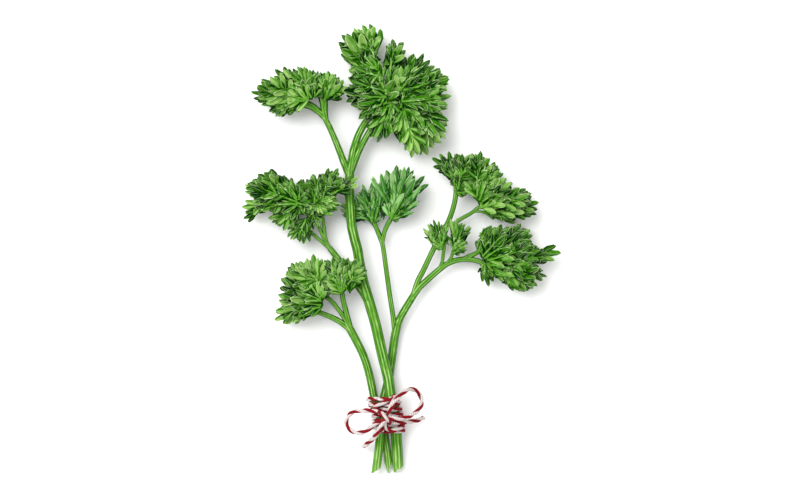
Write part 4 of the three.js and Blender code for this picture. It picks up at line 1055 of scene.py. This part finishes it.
def frond_places(sprigs, chance):
    """The long fronds on top of each sprig, from its stem to its outline."""
    for root, middle, half, turn in sprigs:
        for lean, begin, share, rise in TOP_FRONDS:
            along = Matrix.Rotation(lean + chance.uniform(-0.15, 0.15), 3, "Z") @ turn.col[1]
            size = 2 * half.y * share * chance.uniform(0.9, 1.1)
            point = (along + UP * chance.uniform(-0.1, 0.3)).normalized()
            lifted = UP * (rise * half.z / 9 + chance.uniform(-1, 1))
            start = root + turn.col[1] * 2 * half.y * begin + lifted
            facing = UP + Vector(chance.uniform(-1, 1) for _ in range(3)) * 0.45
            yield start + point * size, point, facing, size


def draped(route, surface):
    """A path along the route that lies on the leaves below it, and follows them loosely."""
    path = smooth_route([(x, y, 0) for x, y in route], RIB_STEP)
    heights = []
    for place in path:
        hit = surface.ray_cast((place + PLACE) * MM + UP, -UP)[0]
        if not hit or within((place + PLACE) * MM, GAPS):
            break
        heights.append(hit.z / MM)
    path = path[:len(heights)]
    for i, place in enumerate(path):
        near_by = sorted(heights[max(0, i - 3):i + 4])
        place.z = near_by[len(near_by) // 2] - RIB_SINK
    return path


def leaf_ribs(name, sprigs, surface, chance):
    """The pale rib of each sprig, with two side ribs, lying half among its leaves."""
    ribs = []
    for root, middle, half, turn in sprigs:
        along, across = turn.col[1].xy.normalized(), turn.col[0].xy.normalized()
        for lean, begin, end, thick in RIB_SPREAD:
            lean += chance.uniform(-0.08, 0.08)
            start = root.xy + along * 2 * half.y * begin
            far = 2 * half.y * (end - begin)
            route = [start, start + along * far * 0.5 + across * far * 0.15 * lean,
                     start + along * far * (1 - abs(lean) * 0.3) + across * far * lean]
            path = draped(route, surface)
            if len(path) < SHORTEST_RIB:
                continue
            radii = [thick * (1 - RIB_TAPER * i / (len(path) - 1)) for i in range(len(path))]
            ribs.append(tube(name + "_rib", path, radii, RIB_GREEN))
    return ribs


for seed, (name, (length, spacing, kinds, skin, sprig_sizes)) in enumerate(HEADS.items()):
    chance = random.Random(seed)
    sprigs = [outline(*sizes) for sizes in sprig_sizes]
    solid = frame["nodes"][name]
    near = BVHTree.FromPolygons([v.co for v in solid.data.vertices],
                                [p.vertices for p in solid.data.polygons])
    floor = min(v.co.z for v in solid.data.vertices) / MM + RESTING_FAN
    fronds = BROAD_FRONDS if kinds is BROAD_FANS else SLENDER_FRONDS
    layers = (
        (kinds, fan_places(sprigs, length, spacing, OUTER_FANS, chance), OUTER_FANS[-1]),
        (kinds, fan_places(sprigs, length, spacing, INNER_FANS, chance), INNER_FANS[-1]),
        (fronds, frond_places(sprigs, chance), FROND_PAINTED_LIGHT),
        (kinds, fan_places(sprigs, length, spacing, LOWER_FANS, chance, floor), LOWER_FANS[-1]))
    fans = []
    for shapes, places, painted_layer_shade in layers:
        for place, point, facing, size in places:
            kind, tips, bodies = shapes[chance.randrange(len(shapes))]
            across = point.cross(facing).normalized()
            turn = Matrix((across, point, across.cross(point))).transposed().to_4x4()
            stand = fitted(near, tips, bodies, place, turn, size)
            if not stand:
                continue
            copy = kind.copy()
            copy.data = kind.data.copy()
            copy.matrix_world = stand
            # Each fan's own random tone plus the painted shade of its layer: darker for the inner and lower fans, a
            # little lighter for the fronds on top.
            shade = chance.uniform(*TONES) + painted_layer_shade
            for value in copy.data.attributes["tone_and_painted_shade"].data:
                value.value += shade
            copy.data.materials.append(skin)
            bpy.context.collection.objects.link(copy)
            fans.append(copy)
    only(*fans)
    bpy.ops.object.transform_apply(location=True, rotation=True, scale=True)
    head = joined(name + "_leaves", fans)
    surface = BVHTree.FromPolygons([v.co for v in head.data.vertices],
                                   [p.vertices for p in head.data.polygons])
    head = joined(name + "_leaves", [head, *leaf_ribs(name, sprigs, surface, chance)])
    # The lowest leaves lie pressed on the table top.
    pressed = SURFACE_GAP + SURFACE_BEND
    for v in head.data.vertices:
        if v.co.z < pressed * MM:
            bent = math.exp((v.co.z / MM - pressed) / BEND_REACH)
            v.co.z = SURFACE_GAP * MM + SURFACE_BEND * MM * bent
    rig.ride(head, "root")
    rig.replaces(head, name)
    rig.slot(head, "leaf")

for plain, _, _ in BROAD_FANS + NARROW_FANS + BROAD_FRONDS + SLENDER_FRONDS:
    bpy.data.objects.remove(plain)


packed = [list(corner) for corner in packed_box]
dressed = [list(corner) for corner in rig.bounds()]
with open("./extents.json", "w") as file:
    json.dump({"cad": packed, "visual": dressed}, file)
